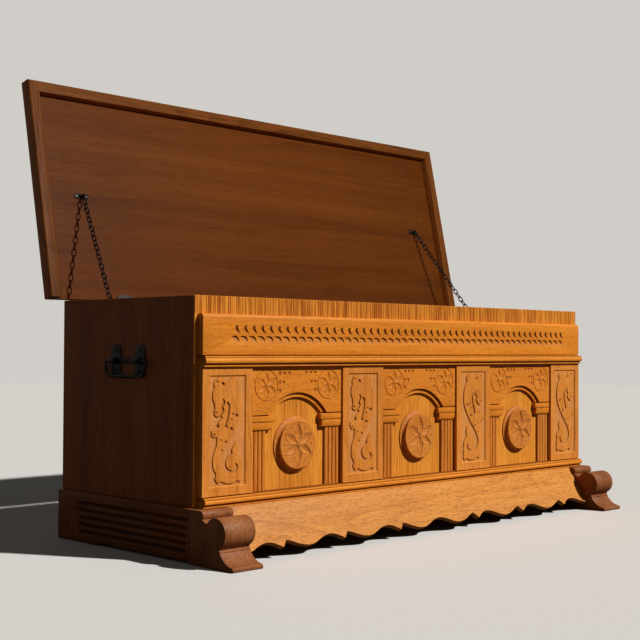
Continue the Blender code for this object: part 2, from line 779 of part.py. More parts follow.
def staple(side, station, hinge_line):
    """A plate under the lid with a round bar bent down to hold the first link."""
    piece = block(f"{side}_chain_staple", station - staple_length / 2, station + staple_length / 2,
                  -chain_lid_reach - staple_depth / 2, -chain_lid_reach + staple_depth / 2,
                  -staple_plate, 0, edge=0)
    corner = staple_bar_radius * 1.5
    right = [(staple_half_span, -staple_plate / 2)]
    right += arc(staple_half_span - corner, -staple_drop + corner, corner, 0, -90, 3)
    path = right + [(-u, v) for u, v in reversed(right)]
    bar = new_piece("bar", rod_mesh([(station + u, -chain_lid_reach, v) for u, v in path],
                                    staple_bar_radius, 8, flat_normal=(0, 1, 0)))
    combine(piece, bar, "UNION")
    give_finish(piece, black_iron)
    piece.parent = hinge_line


def anchor_screw(side, sign, anchor_y, anchor_z):
    """A round-head screw in the side panel's inner face, through the last link."""
    flange = fit_gap + anchor_flange
    shank = flange + chain_wire + 2 * anchor_side_play
    head = shank + anchor_head_thickness
    profile = [(0, fit_gap), (anchor_flange_radius, fit_gap), (anchor_flange_radius, flange),
               (anchor_shank_radius, flange), (anchor_shank_radius, shank), (anchor_head_radius, shank),
               (anchor_head_radius, (shank + head) / 2), (anchor_shank_radius, head), (0, head)]
    piece = turned(f"{side}_chain_anchor", [(r, -sign * h) for r, h in profile], 16, bright_steel, along="x")
    piece.location = (sign * half_inner, anchor_y, anchor_z)


def main():
    carcass()
    plinth()
    frieze_and_mouldings()
    bays()
    hinge_line = lid()
    hinges(hinge_line)
    side_handles()
    chains(hinge_line)


main()
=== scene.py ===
# %% [markdown]
# # A carved oak chest with its lid open
# This is a blanket chest: six boards make the box, and a carved front is applied over
# the front board. The plain solids come from the frame, and this lesson dresses them.
# Every finished piece keeps the size and place of the solid that it stands for.

# %% The frame
from math import asin, cos, degrees, hypot, pi, radians, sin

import bmesh
import bpy
import numpy as np
from mathutils import Matrix, Vector
from mathutils.geometry import delaunay_2d_cdt


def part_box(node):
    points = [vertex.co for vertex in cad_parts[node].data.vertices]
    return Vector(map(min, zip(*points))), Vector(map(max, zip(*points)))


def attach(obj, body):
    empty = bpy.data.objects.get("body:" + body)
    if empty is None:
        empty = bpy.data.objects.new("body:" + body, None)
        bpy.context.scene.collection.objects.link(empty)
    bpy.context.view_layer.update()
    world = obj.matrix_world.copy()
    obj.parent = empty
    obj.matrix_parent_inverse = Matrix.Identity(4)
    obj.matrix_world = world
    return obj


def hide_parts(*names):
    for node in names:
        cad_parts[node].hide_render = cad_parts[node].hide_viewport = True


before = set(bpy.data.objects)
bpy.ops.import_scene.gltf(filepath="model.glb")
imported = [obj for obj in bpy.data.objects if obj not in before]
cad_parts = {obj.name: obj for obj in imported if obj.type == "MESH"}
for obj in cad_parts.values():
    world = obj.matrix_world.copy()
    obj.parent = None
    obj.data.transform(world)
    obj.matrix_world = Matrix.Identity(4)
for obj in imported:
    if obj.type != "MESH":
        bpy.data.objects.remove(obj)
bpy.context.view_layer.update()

mm = 0.001

# %% [markdown]
# ## Camera
# The photograph was taken from low down, off the chest's front left corner. A camera is
# placed by its position and three turns: yaw, pitch and roll. Building the matrix from
# the sight line keeps the tiny roll of a hand-held picture.

# %% Camera
camera_place = Vector((-2.5149, -2.4267, 0.4892))
yaw, pitch, roll = 0.781051, 0.0240076, 0.004509
lens, sensor_width = 68.07, 36.0


def put(name, data):
    """A new object in the scene that shows a mesh, a lamp or a camera."""
    made = bpy.data.objects.new(name, data)
    bpy.context.scene.collection.objects.link(made)
    return made


sight = Vector((sin(yaw) * cos(pitch), cos(yaw) * cos(pitch), sin(pitch)))
level = Vector((cos(yaw), -sin(yaw), 0))
plumb = level.cross(sight)
to_right = level * cos(roll) + plumb * sin(roll)
to_top = plumb * cos(roll) - level * sin(roll)
camera = put("camera", bpy.data.cameras.new("camera"))
camera.data.lens, camera.data.sensor_width = lens, sensor_width
camera_turn = Matrix((to_right, to_top, -sight)).transposed().to_4x4()
camera.matrix_world = Matrix.Translation(camera_place) @ camera_turn
bpy.context.scene.camera = camera
bpy.context.scene.view_settings.view_transform = "Standard"
print("camera at", tuple(round(c, 3) for c in camera_place))

# %% [markdown]
# ## Nodes written as Python
# A material is a tree of nodes. One function makes any node, and one small class wraps
# a socket, so that plain sums such as `1 - mask` add their Math nodes by themselves.

# %% Node helpers
class Signal:
    """One output socket, with the sums that it takes part in."""

    def __init__(self, tree, socket):
        self.tree = tree
        self.socket = socket

    def sum(self, operation, first, second):
        return node(self.tree, "ShaderNodeMath", {"operation": operation}, {0: first, 1: second})

    def __add__(self, other):
        return self.sum("ADD", self, other)

    def __sub__(self, other):
        return self.sum("SUBTRACT", self, other)

    def __rsub__(self, other):
        return self.sum("SUBTRACT", other, self)

    def __mul__(self, other):
        return self.sum("MULTIPLY", self, other)

    def __pow__(self, other):
        return self.sum("POWER", self, other)

    __radd__ = __add__
    __rmul__ = __mul__

    def between(self, low, high, start=0.0, end=1.0):
        """Ease from start to end while the signal goes from low to high."""
        return node(self.tree, "ShaderNodeMapRange", {"interpolation_type": "SMOOTHSTEP"},
                    {0: self, 1: low, 2: high, 3: start, 4: end})


def node(tree, kind, settings=None, sockets=None, output=0):
    """Make one node: settings first, then the values or links of its sockets."""
    made = tree.nodes.new(kind)
    for name, value in (settings or {}).items():
        if name == "stops":
            for _ in value[2:]:
                made.color_ramp.elements.new(0.5)
            for element, (place, colour) in zip(made.color_ramp.elements, value):
                element.position, element.color = place, shade(colour)
        else:
            setattr(made, name, value)
    for name, value in (sockets or {}).items():
        if isinstance(value, Signal):
            tree.links.new(value.socket, made.inputs[name])
        else:
            made.inputs[name].default_value = value
    return Signal(tree, made.outputs[output] if made.outputs else None)


def mix(factor, first, second):
    """Blend two colours; a colour never goes through a Math node, which would turn it grey."""
    return node(factor.tree, "ShaderNodeMix", {"data_type": "RGBA"}, {0: factor, 6: first, 7: second}, 2)


def ramp(signal, *stops):
    """Colours along a signal, each stop a place from 0 to 1 and a colour."""
    return node(signal.tree, "ShaderNodeValToRGB", {"stops": stops}, {"Fac": signal})


def noise(where, scale, detail=3.0, roughness=0.5, output=0):
    """Soft random patches, about one metre over the scale in width."""
    return node(where.tree, "ShaderNodeTexNoise", {},
                {"Vector": where, "Scale": scale, "Detail": detail, "Roughness": roughness}, output)


def axis(where, output):
    return node(where.tree, "ShaderNodeSeparateXYZ", {}, {0: where}, output)


def tint(red, green, blue):
    """A colour as a paint chart gives it, from 0 to 255, in the linear values of a shader."""
    return tuple(c / 255 / 12.92 if c < 11 else ((c / 255 + 0.055) / 1.055) ** 2.4
                 for c in (red, green, blue))


def shade(colour, light=1.0):
    """A colour made lighter or darker, with the fourth number that a socket asks for."""
    return (*(c * light for c in colour), 1)


def new_finish(name):
    """An empty material and its coordinates; its shader comes last, when all that feeds it is there."""
    material = bpy.data.materials.new(name)
    material.use_nodes = True
    material.node_tree.nodes.clear()
    return material, node(material.node_tree, "ShaderNodeTexCoord", output="Object")


def close_finish(material, colour, roughness, height=None, metallic=0.0, specular=0.5):
    """Put the shader on a material: colour and roughness vary, the rest is the same all over."""
    tree = material.node_tree
    sockets = {"Base Color": colour, "Roughness": roughness, "Metallic": metallic,
               "Specular IOR Level": specular}
    if height is not None:
        sockets["Normal"] = node(tree, "ShaderNodeBump", {},
                                 {"Height": height, "Distance": 0.2 * mm, "Strength": 1.0})
    shader = node(tree, "ShaderNodeBsdfPrincipled", {}, sockets)
    node(tree, "ShaderNodeOutputMaterial", {}, {"Surface": shader})
    return material


print("node helpers:", ", ".join(helper.__name__ for helper in (node, mix, ramp, noise, axis, tint, shade)))

# %% [markdown]
# ## Oak
# Oak shows four things at once: wide bands of lighter and darker wood, the lines of the
# year rings, fine fibres, and short dark pores. All of them run along the grain, so they
# are noise in coordinates that are squeezed along one axis. The year rings are contour
# lines of a very slow noise: that gives the long arches of a board sawn through the log.
# The carved pieces carry two numbers on each corner. `hollow` is painted shade: it darkens
# the oak in cuts, grooves, quirks and along the feet of walls. The other is a pale powder:
# real dust on the sunk grounds and in the runner's star, and a painted highlight on the
# scoops of the frieze's lower row.

# %% How oak is made
band_scale, ring_scale, mood_scale, sway_scale = 14.0, 7.0, 2.4, 3.0
fibre_scale, pore_scale, tick_scale, speckle_scale, wave_scale = 800.0, 380.0, 400.0, 320.0, 60.0
noise_spread, ring_spread, mood_spread, ring_middle, ring_sharp = 2.4, 0.8, 0.30, 0.28, 2.5
fibre_edges, pore_edges, tick_edges, speckle_edges = (0.40, 0.66), (0.58, 0.70), (0.56, 0.66), (0.38, 0.62)
fibre_dark, pore_dark, painted_shade_dark, bare_dark, soft_edge = 0.22, 0.22, 0.75, 0.12, 1 * mm
tone_stops, dust_and_highlight_colour, wax_shine = (0.15, 0.5, 0.85), (0.10, 0.085, 0.06), 0.12


def oak(name, along, tones, rings, lines, line_size=0.006, bands=0.3, ring_count=20, gloss=0.44, lean=0.0,
        stretch=40.0, wobble=0.008, ticks=0.2, ends=None, lively=None):
    """A polished oak with its grain along x, y or z, or on a board that leans about X.

    Its tones go from dark to pale. Rings, lines and bands say how strongly each of them shows.
    Ends are a reach and the side's darker tones, painted past it on the end faces as painted shade; lively is
    a height and the lines above it.
    """
    material, here = new_finish(name)
    tree = here.tree
    dark, middle, pale = (tint(*tone) for tone in tones)
    if lean:
        here = node(tree, "ShaderNodeVectorRotate", {"rotation_type": "X_AXIS"},
                    {"Vector": here, "Angle": lean})
    sway = noise(here, sway_scale, 1.0, output=1)
    sway = node(tree, "ShaderNodeVectorMath", {"operation": "SCALE"}, {0: sway, "Scale": wobble})
    bent = node(tree, "ShaderNodeVectorMath", {"operation": "ADD"}, {0: here, 1: sway})

    def grain(share):
        squeeze = [1.0, 1.0, 1.0]
        squeeze["xyz".index(along)] = 1.0 / share
        return node(tree, "ShaderNodeMapping", {}, {"Vector": bent, "Scale": squeeze})

    long_grain, fine_grain = grain(stretch), grain(stretch / 3)
    band = noise(long_grain, band_scale, 2.0)
    line = noise(long_grain, 1.0 / line_size, 2.0)
    fibre = noise(fine_grain, fibre_scale, 2.0, 0.6)
    contour = (noise(grain(stretch / 4), ring_scale, 1.0, 0.4) * ring_count
               + noise(fine_grain, wave_scale, 2.0) * 0.5)
    year = node(tree, "ShaderNodeMath", {"operation": "FRACT"}, {0: contour}) ** ring_sharp
    pore = noise(fine_grain, pore_scale, 1.0).between(*pore_edges)
    mood = noise(here, mood_scale, 2.0)
    if lively:
        bare_height, bare_lines = lively
        bare = axis(here, 2).between(bare_height - soft_edge, bare_height)
        lines = lines + (bare_lines - lines) * bare
    tone = (0.5 + (band - 0.5) * (bands * noise_spread) + (line - 0.5) * (lines * noise_spread)
            + (ring_middle - year) * (rings * ring_spread) + (mood - 0.5) * mood_spread)
    if lively:
        tone = tone - bare_dark * bare
    colour = ramp(tone, *zip(tone_stops, (dark, middle, pale)))
    # Painted shade: past the reach, the end faces take the darker side tones.
    if ends:
        reach, side_wood_and_shade = ends
        end_wood_and_shade = ramp(tone, *zip(tone_stops, (tint(*one) for one in side_wood_and_shade)))
        outward = node(tree, "ShaderNodeMath", {"operation": "ABSOLUTE"}, {0: axis(here, 0)})
        colour = mix(outward.between(reach - 0.4 * mm, reach - 0.1 * mm), colour, end_wood_and_shade)
    colour = mix(fibre.between(*fibre_edges, 0.0, fibre_dark), colour, shade(dark))
    colour = mix(pore * (pore_dark + year * (rings * 0.5)), colour, shade(dark, 0.5))
    tick = noise(grain(stretch / 7), tick_scale, 1.0).between(*tick_edges)
    colour = mix(tick * ticks, colour, shade(dark, 0.8))
    hollow, dust = (node(tree, "ShaderNodeAttribute", {"attribute_name": mark}, output=2)
                    for mark in ("hollow", "dust"))
    speckle = noise(here, speckle_scale, 2.0).between(*speckle_edges)
    powder = (0.70 * c + d for c, d in zip(middle, dust_and_highlight_colour))
    # Pale powder: real dust on the sunk grounds and the runner's star, a painted highlight on the frieze's
    # lower scoops.
    colour = mix(dust * (0.20 + 0.40 * speckle), colour, shade(powder))
    # Painted shade: the hollow mark darkens the oak in cuts, grooves and quirks.
    colour = mix(hollow * painted_shade_dark, colour, shade(dark, 0.22))
    rough = gloss + fibre * 0.12 + hollow * 0.25 + dust * 0.18
    relief = fibre * 0.5 - pore * 0.8 - year * (rings * 0.4) + speckle * dust * 0.9
    return close_finish(material, colour, rough, relief, specular=wax_shine)


print("oak goes from dark to pale at", tone_stops, "of its tone")

# %% The oaks of this chest
lean_angle = radians(102.1)
# The side tones are darker than the front's: partly the wood's own colour, partly painted shade.
side_wood_and_shade = ((92, 44, 16), (138, 74, 30), (164, 96, 46))
rail_tones = ((108, 54, 16), (158, 90, 34), (182, 112, 50))
front_oak = oak("front_oak", "x", ((158, 82, 12), (208, 124, 34), (228, 150, 55)), 0.06, 0.16, 0.004, 0.14,
                ticks=0.26)
apron_oak = oak("apron_oak", "x", ((142, 80, 26), (190, 122, 50), (209, 145, 69)), 0.20, 0.20, 0.004, 0.10,
                16, ticks=0.55)
column_oak = oak("column_oak", "z", ((150, 74, 14), (200, 119, 42), (220, 146, 62)), 0.10, 0.25, 0.004,
                 0.15, stretch=26.0)
# The front board's end faces take the side tones, a painted shade.
veneer_oak = oak("veneer_oak", "z", ((134, 66, 10), (206, 127, 38), (230, 159, 62)), 0.05, 0.34, 0.0034,
                 0.16, stretch=60.0, wobble=0.003, ends=(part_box("front_board")[1].x, side_wood_and_shade),
                 lively=(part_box("frieze_board")[1].z, 0.80))
carved_oak = oak("carved_oak", "z", ((146, 76, 18), (202, 123, 46), (222, 148, 66)), 0.10, 0.22, 0.004,
                 0.18, stretch=24.0)
arch_oak = oak("arch_oak", "x", ((150, 76, 12), (204, 120, 35), (224, 147, 54)), 0.08, 0.16, 0.004, 0.14,
               stretch=26.0, ticks=0.26)
boss_oak = oak("boss_oak", "x", ((142, 74, 24), (192, 115, 42), (212, 141, 62)), 0.10, 0.18, bands=0.14,
               stretch=20.0)
side_oak = oak("side_oak", "z", side_wood_and_shade, 0.16, 0.28, 0.005, 0.22, gloss=0.40)
runner_oak = oak("runner_oak", "y", ((88, 42, 16), (132, 72, 30), (158, 94, 46)), 0.20, 0.28)
# The feet's tones are darker than the front's: partly the wood's own colour, partly painted shade.
foot_oak = oak("foot_oak", "z", ((86, 44, 20), (130, 76, 40), (158, 102, 60)), 0.10, 0.34, 0.004, 0.30, 16,
               stretch=5.0)
inner_oak = oak("inner_oak", "x", ((112, 60, 24), (156, 92, 42), (180, 116, 60)), 0.25, 0.35)
# The lid's tones are darker than the front's: partly the wood's own colour, partly painted shade.
lid_oak = oak("lid_oak", "x", ((106, 52, 14), (136, 71, 21), (154, 85, 29)), 0.14, 0.16, 0.012, 0.30, 9,
              0.42, stretch=60.0)
rail_oak = oak("rail_oak", "x", rail_tones, 0.20, 0.30, gloss=0.38)
side_rail_oak = oak("side_rail_oak", "y", rail_tones, 0.20, 0.30, gloss=0.38, lean=lean_angle)
print("oak finishes:", len([m for m in bpy.data.materials if m.name.endswith("_oak")]))

# %% [markdown]
# ## Iron, steel and the room
# The handles, staples and chains are blackened iron: dark, a little uneven, rubbed
# lighter here and there. The hinges and screws are plain steel. The floor looks pale, but
# throws little light back. The room is soft and white, a little stronger at the back and
# left. The key lamp is a narrow sun from the front right, which models the carving. A
# small lamp in front, above the chest, lights the lid and lays the shadow of each chain
# on it.

# %% Metals
patch_scale = 60.0


def metal(name, dark, pale, roughness, metallic, speck):
    """A metal between two tones, with slow patches and fine specks."""
    material, here = new_finish(name)
    patch, grit = noise(here, patch_scale), noise(here, speck, 2.0)
    colour = ramp(patch * 0.6 + grit * 0.4, (0.35, tint(*dark)), (0.7, tint(*pale)))
    return close_finish(material, colour, roughness + patch * 0.2, grit, metallic)


black_iron = metal("black_iron", (22, 20, 20), (58, 54, 52), 0.38, 0.75, 700.0)
bright_steel = metal("bright_steel", (52, 50, 48), (96, 92, 87), 0.40, 1.0, 900.0)
screw_steel = metal("screw_steel", (140, 136, 130), (206, 202, 196), 0.22, 1.0, 900.0)

print("metals:", black_iron.name, bright_steel.name, screw_steel.name)

# %% Floor
floor_size, floor_drop, floor_patch, floor_grain, floor_rough = 14.0, 0.3 * mm, 90.0, 300.0, 0.85
floor_dim, floor_low, floor_high, wall_tone = (82, 75, 69), (200, 196, 190), (208, 204, 198), (208, 205, 200)
floor_finish, here = new_finish("pale_floor")
floor_colour = mix(noise(here, floor_patch), shade(tint(*floor_low)), shade(tint(*floor_high)))
seen = node(floor_finish.node_tree, "ShaderNodeLightPath")
floor_colour = mix(seen, shade(tint(*floor_dim)), floor_colour)
close_finish(floor_finish, floor_colour, noise(here, floor_grain) * 0.1 + floor_rough, specular=0.2)
floor_mesh = bmesh.new()
bmesh.ops.create_circle(floor_mesh, cap_ends=True, segments=64, radius=floor_size)
floor = put("floor", bpy.data.meshes.new("floor"))
floor_mesh.to_mesh(floor.data)
floor_mesh.free()
floor.data.materials.append(floor_finish)
floor.location.z = -floor_drop
print("floor:", floor_size, "m to its edge")

# %% Room
back_glow, left_glow, room_glow, mirror_share = 0.03, 0.03, 0.058, 0.3
room = bpy.data.worlds.new("Soft white room")
room.use_nodes = True
walls = room.node_tree
walls.nodes.clear()
bpy.context.scene.world = room
seen, glossy = (node(walls, "ShaderNodeLightPath", output=f"Is {kind} Ray") for kind in ("Camera", "Glossy"))
toward = node(walls, "ShaderNodeTexCoord", output="Generated")
glow = axis(toward, 1) * back_glow - axis(toward, 0) * left_glow + room_glow
light_sky, seen_sky = (node(walls, "ShaderNodeBackground", {}, {"Color": colour, "Strength": power})
                       for colour, power in ((shade((1, 1, 1)), glow), (shade(tint(*wall_tone)), 1.0)))
sky = node(walls, "ShaderNodeMixShader", {}, {0: seen + glossy * mirror_share, 1: light_sky, 2: seen_sky})
node(walls, "ShaderNodeOutputWorld", {}, {"Surface": sky})
print("room:", len(walls.nodes), "nodes")

# %% Lamps
key_turn, key_rise, key_width, key_power = radians(29), radians(41), radians(2), 5.0
lamp_place, lamp_aim, lamp_size, lamp_power = Vector((0.05, -1.94, 2.06)), Vector((0, 0.2, 0.7)), 0.03, 34.0
key_from = Vector((sin(key_turn) * cos(key_rise), -cos(key_turn) * cos(key_rise), sin(key_rise)))
key_lamp = put("key lamp", bpy.data.lights.new("key lamp", "SUN"))
key_lamp.data.energy, key_lamp.data.angle = key_power, key_width
front_lamp = put("front lamp", bpy.data.lights.new("front lamp", "AREA"))
front_lamp.data.shape, front_lamp.data.size, front_lamp.data.energy = "DISK", lamp_size, lamp_power
front_lamp.location = lamp_place
for lamp, toward in ((key_lamp, key_from), (front_lamp, lamp_place - lamp_aim)):
    lamp.rotation_euler = toward.to_track_quat("Z", "Y").to_euler()
print("key lamp shines from", tuple(round(c, 2) for c in key_from))

# %% [markdown]
# ## Pieces that keep their solid
# A plain board is a plain board: its solid has the right shape already, so it only gets
# its finish. The hinge leaves and pins are kept too.

# %% Boards that only need a finish
kept = {
    side_oak: ("left_side_panel", "right_side_panel", "back_panel", "back_plinth"),
    inner_oak: ("bottom_board", "left_bottom_cleat", "right_bottom_cleat"),
    veneer_oak: ("front_board",),
    lid_oak: ("lid_panel",),
    bright_steel: tuple(f"{side}_hinge_{part}" for side in ("left", "right")
                        for part in ("body_leaf", "lid_leaf", "pin")),
}
for finish, names in kept.items():
    for name in names:
        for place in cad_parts[name].material_slots:
            place.material = finish
print("kept boards and leaves:", sum(len(names) for names in kept.values()))

# %% [markdown]
# ## Lines and sections
# A section drawn along a line makes most of this chest: mouldings, rails, the apron and
# the feet. The lines are lists of points, put together from arcs, rings, rectangles and
# smooth curves. `sweep` joins rings of points to a closed body.

# %% Lines and sections
front_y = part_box("front_board")[0].y
facade_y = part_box("carved_pilaster_1")[0].y
gap = 0.3 * mm


def arc(centre_u, centre_v, radius, start, end, steps):
    """Points along an arc, angles in degrees, both ends included."""
    turns = [radians(start + (end - start) * n / steps) for n in range(steps + 1)]
    return [(centre_u + radius * cos(t), centre_v + radius * sin(t)) for t in turns]


def at(line, n, closed):
    """Point n of a line: past the ends, a closed line goes round and an open one stops."""
    return line[n % len(line)] if closed else line[min(max(n, 0), len(line) - 1)]


def rounded(points, steps=4, closed=True):
    """A smooth line through a few points, each stretch cut into short steps."""
    spots = [Vector(p) for p in points]
    line = []
    for n in range(len(spots) - (not closed)):
        before, here, there, after = (at(spots, n + k, closed) for k in (-1, 0, 1, 2))
        for t in (step / steps for step in range(steps)):
            line.append(0.5 * (2 * here + (there - before) * t
                               + (2 * before - 5 * here + 4 * there - after) * t ** 2
                               + (3 * here - before - 3 * there + after) * t ** 3))
    return [tuple(p) for p in line + ([] if closed else spots[-1:])]


def skin(bm, loops, closed=False, around=True):
    """Faces between loops of corners that follow each other."""
    for low, high in zip(loops, loops[1:] + (loops[:1] if closed else [])):
        for n in range(len(low) - (not around)):
            after = (n + 1) % len(low)
            bm.faces.new((low[n], low[after], high[after], high[n]))


def sweep(rings, closed=False):
    """A mesh from rings of corners: capped at both ends, or closed to a ring itself."""
    bm = bmesh.new()
    loops = [[bm.verts.new(corner) for corner in ring] for ring in rings]
    skin(bm, loops, closed)
    if not closed:
        bm.faces.new(loops[0])
        bm.faces.new(list(reversed(loops[-1])))
    bmesh.ops.recalc_face_normals(bm, faces=bm.faces)
    return bm


def section(outline, along, start, end):
    """A flat outline drawn out along x, y or z."""
    def corner(u, v, w):
        return {"x": (w, u, v), "y": (u, w, v), "z": (u, v, w)}[along]
    return sweep([[corner(u, v, w) for u, v in outline] for w in (start, end)])


print("the front board's face is at y =", round(front_y, 4), "and the carved face at", round(facade_y, 4))

# %% [markdown]
# ## From mesh to finished piece
# A mesh is cut and eased while it is loose in the scene. Cut pieces carry numbers on
# each corner: how much painted shade darkens the oak there, and how much pale powder
# lies there, real dust on the carved grounds and a painted highlight on the frieze.
# `hand_over` then turns the faces outwards, gives the piece its finish, and hangs it on
# the body that it moves with, in place of the solid.

# %% From mesh to finished piece
riders = {}


def loose(name, bm):
    """A mesh as an object in the scene, before it is handed over."""
    mesh = bpy.data.meshes.new(name)
    bm.to_mesh(mesh)
    bm.free()
    return put(name, mesh)


def drawn(name, outline, solid):
    """An outline drawn out along x, as long as the solid."""
    low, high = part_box(solid)
    return loose(name, section(outline, "x", low.x, high.x))


def drop(piece):
    bpy.data.objects.remove(piece, do_unlink=True)


def settle(piece):
    """Turn what the modifiers make into the piece's own mesh, and take them off."""
    evaluated = piece.evaluated_get(bpy.context.evaluated_depsgraph_get())
    piece.data = bpy.data.meshes.new_from_object(evaluated)
    piece.modifiers.clear()
    return piece


def ease(piece, width, steps=2, angle=50):
    """Take the sharpness off a piece's edges, as a block plane does."""
    bevel = piece.modifiers.new("Eased edges", "BEVEL")
    bevel.width, bevel.segments = width, steps
    bevel.limit_method, bevel.angle_limit = "ANGLE", radians(angle)
    return settle(piece)


def join(first, *others):
    """Put the faces of several objects in the first one's mesh."""
    bm = bmesh.new()
    for piece in (first, *others):
        bm.from_mesh(piece.data)
    bm.to_mesh(first.data)
    bm.free()
    for piece in others:
        drop(piece)
    return first


def cut(piece, cutter):
    """Cut one solid out of another, and drop the cutter."""
    saw = piece.modifiers.new("Cut", "BOOLEAN")
    saw.operation, saw.solver, saw.object = "DIFFERENCE", "EXACT", cutter
    settle(piece)
    drop(cutter)
    return piece


def unit(values):
    """Numbers kept between 0 and 1."""
    return np.clip(values, 0, 1)


def write_mark(piece, name, values):
    """Write a number from 0 to 1 on each corner; corners past the last value get 0."""
    whole = np.zeros(len(piece.data.vertices), np.float32)
    whole[:len(values)] = unit(values)
    piece.data.attributes.new(name, "FLOAT", "POINT").data.foreach_set("value", whole)


def mark_depth(piece, depth_at, name="hollow"):
    """Write on each corner how deep it lies in a cut, worked out from its place."""
    places = np.empty(len(piece.data.vertices) * 3)
    piece.data.vertices.foreach_get("co", places)
    write_mark(piece, name, depth_at(places.reshape(-1, 3)))


def hand_over(piece, finish, body, slot, *nodes, crisp=30):
    """Shade a finished piece, give it its finish and hang it on its body."""
    mesh = piece.data
    bm = bmesh.new()
    bm.from_mesh(mesh)
    bmesh.ops.recalc_face_normals(bm, faces=bm.faces)
    bm.to_mesh(mesh)
    bm.free()
    mesh.shade_smooth()
    mesh.set_sharp_from_angle(angle=radians(crisp))
    mesh.materials.clear()
    mesh.materials.append(finish)
    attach(piece, body)
    riders.setdefault(body, []).append(piece)
    if nodes:
        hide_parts(*nodes)
    mesh.calc_loop_triangles()
    print(f"{piece.name}: {len(mesh.loop_triangles)} triangles")


print("steps for a piece:", ", ".join(step.__name__ for step in (loose, ease, cut, mark_depth, hand_over)))

# %% [markdown]
# ## Rows and copies
# Gouge cuts, flutes, reeds, screws and chain links are one shape used many times. Two
# Geometry Nodes trees do all of them: one sets copies in a straight row, the other sets
# a copy on each point of a mesh, turned by what is written on that point. Both end in
# Realize Instances, so that real faces leave the tree.

# %% The row tree and the copies tree
def start_tree(name, **inputs):
    """A tree with named inputs; the seed comes out of it as a shape to copy."""
    tree = bpy.data.node_groups.new(name, "GeometryNodeTree")
    for title, kind in inputs.items():
        tree.interface.new_socket(name=title, in_out="INPUT", socket_type="NodeSocket" + kind)
    tree.interface.new_socket(name="Geometry", in_out="OUTPUT", socket_type="NodeSocketGeometry")
    outputs = node(tree, "NodeGroupInput").socket.node.outputs
    given = {title: Signal(tree, outputs[title]) for title in inputs}
    given["Seed"] = node(tree, "GeometryNodeObjectInfo", {}, {"Object": given["Seed"]}, "Geometry")
    return tree, given


def end_tree(tree, given, sockets):
    """Copies of the seed on points, made real and given their finish."""
    copies = node(tree, "GeometryNodeInstanceOnPoints", {}, {"Instance": given["Seed"], **sockets})
    real = node(tree, "GeometryNodeRealizeInstances", {}, {"Geometry": copies})
    painted = node(tree, "GeometryNodeSetMaterial", {}, {"Geometry": real, "Material": given["Finish"]})
    node(tree, "NodeGroupOutput", {}, {"Geometry": painted})


row_tree, given = start_tree("Row of copies", Geometry="Geometry", Seed="Object", Count="Int", Start="Vector",
                             Step="Vector", Finish="Material")
line = node(row_tree, "GeometryNodeMeshLine", {},
            {"Count": given["Count"], "Start Location": given["Start"], "Offset": given["Step"]})
end_tree(row_tree, given, {"Points": line})

copy_tree, given = start_tree("Copies on points", Geometry="Geometry", Seed="Object", Finish="Material")
turn = node(copy_tree, "GeometryNodeInputNamedAttribute", {"data_type": "FLOAT_VECTOR"}, {"Name": "turn"})
end_tree(copy_tree, given, {"Points": given["Geometry"], "Rotation": turn})


def run_tree(holder, tree, values):
    """Put a tree on an object, set its inputs by their identifiers, and keep the mesh that it makes."""
    modifier = holder.modifiers.new(tree.name, "NODES")
    modifier.node_group = tree
    for item in tree.interface.items_tree:
        if item.item_type == "SOCKET" and item.in_out == "INPUT" and item.name in values:
            modifier[item.identifier] = values[item.name]
    return settle(holder)


def row(name, seed, count, start, step):
    """A row of copies of a seed, which is then dropped."""
    holder = loose(name, bmesh.new())
    run_tree(holder, row_tree, {"Seed": seed, "Count": count, "Start": start, "Step": step})
    drop(seed)
    return holder


def copies_on(name, seed, spots, finish, keep=False):
    """A copy of the seed on each spot, a place and a turn."""
    bm = bmesh.new()
    for place, _ in spots:
        bm.verts.new(place)
    holder = loose(name, bm)
    turns = holder.data.attributes.new("turn", "FLOAT_VECTOR", "POINT")
    turns.data.foreach_set("vector", [c for _, spin in spots for c in spin])
    run_tree(holder, copy_tree, {"Seed": seed, "Finish": finish})
    if not keep:
        drop(seed)
    return holder


print("trees:", row_tree.name, "and", copy_tree.name)

# %% [markdown]
# ## Mouldings
# Two mouldings frame the carved front. Each was run with one plane iron: a flat band, a
# narrow quirk, a swelling round and a small fillet, with a groove over it. The section is
# drawn once and pulled along the front.

# %% Upper and lower moulding
def moulding_section(low, height):
    """The moulding's outline, and the heights of its two quirks."""
    crown, lip, band, fillet, edge = 31 * mm, 24.5 * mm, 5.5 * mm, 5.5 * mm, 1.0 * mm
    neck, soft, groove_high, groove_floor = crown - 3.5 * mm, 0.8 * mm, 2.2 * mm, 15 * mm
    start, end = band + 1.8 * mm, height - groove_high - fillet + 0.6 * mm
    swell, ledge = (end - start) / 2, height - groove_high
    points = [(gap, 0), (lip - soft, 0), (lip, soft), (lip, band - soft), (lip - soft, band),
              (lip - 2.4 * mm, band + 0.5 * mm), (lip - 1.6 * mm, start)]
    points += [(neck + u * (crown - neck) / swell, v) for u, v in arc(0, start + swell, swell, -80, 86, 18)]
    points += [(neck - 1.0 * mm, end + 0.3 * mm), (neck, end + 0.9 * mm), (neck, ledge - edge),
               (neck - edge, ledge), (groove_floor, ledge), (groove_floor, height), (gap, height)]
    return [(front_y - u, low + v) for u, v in points], (band + 1.2 * mm, end + 0.5 * mm)


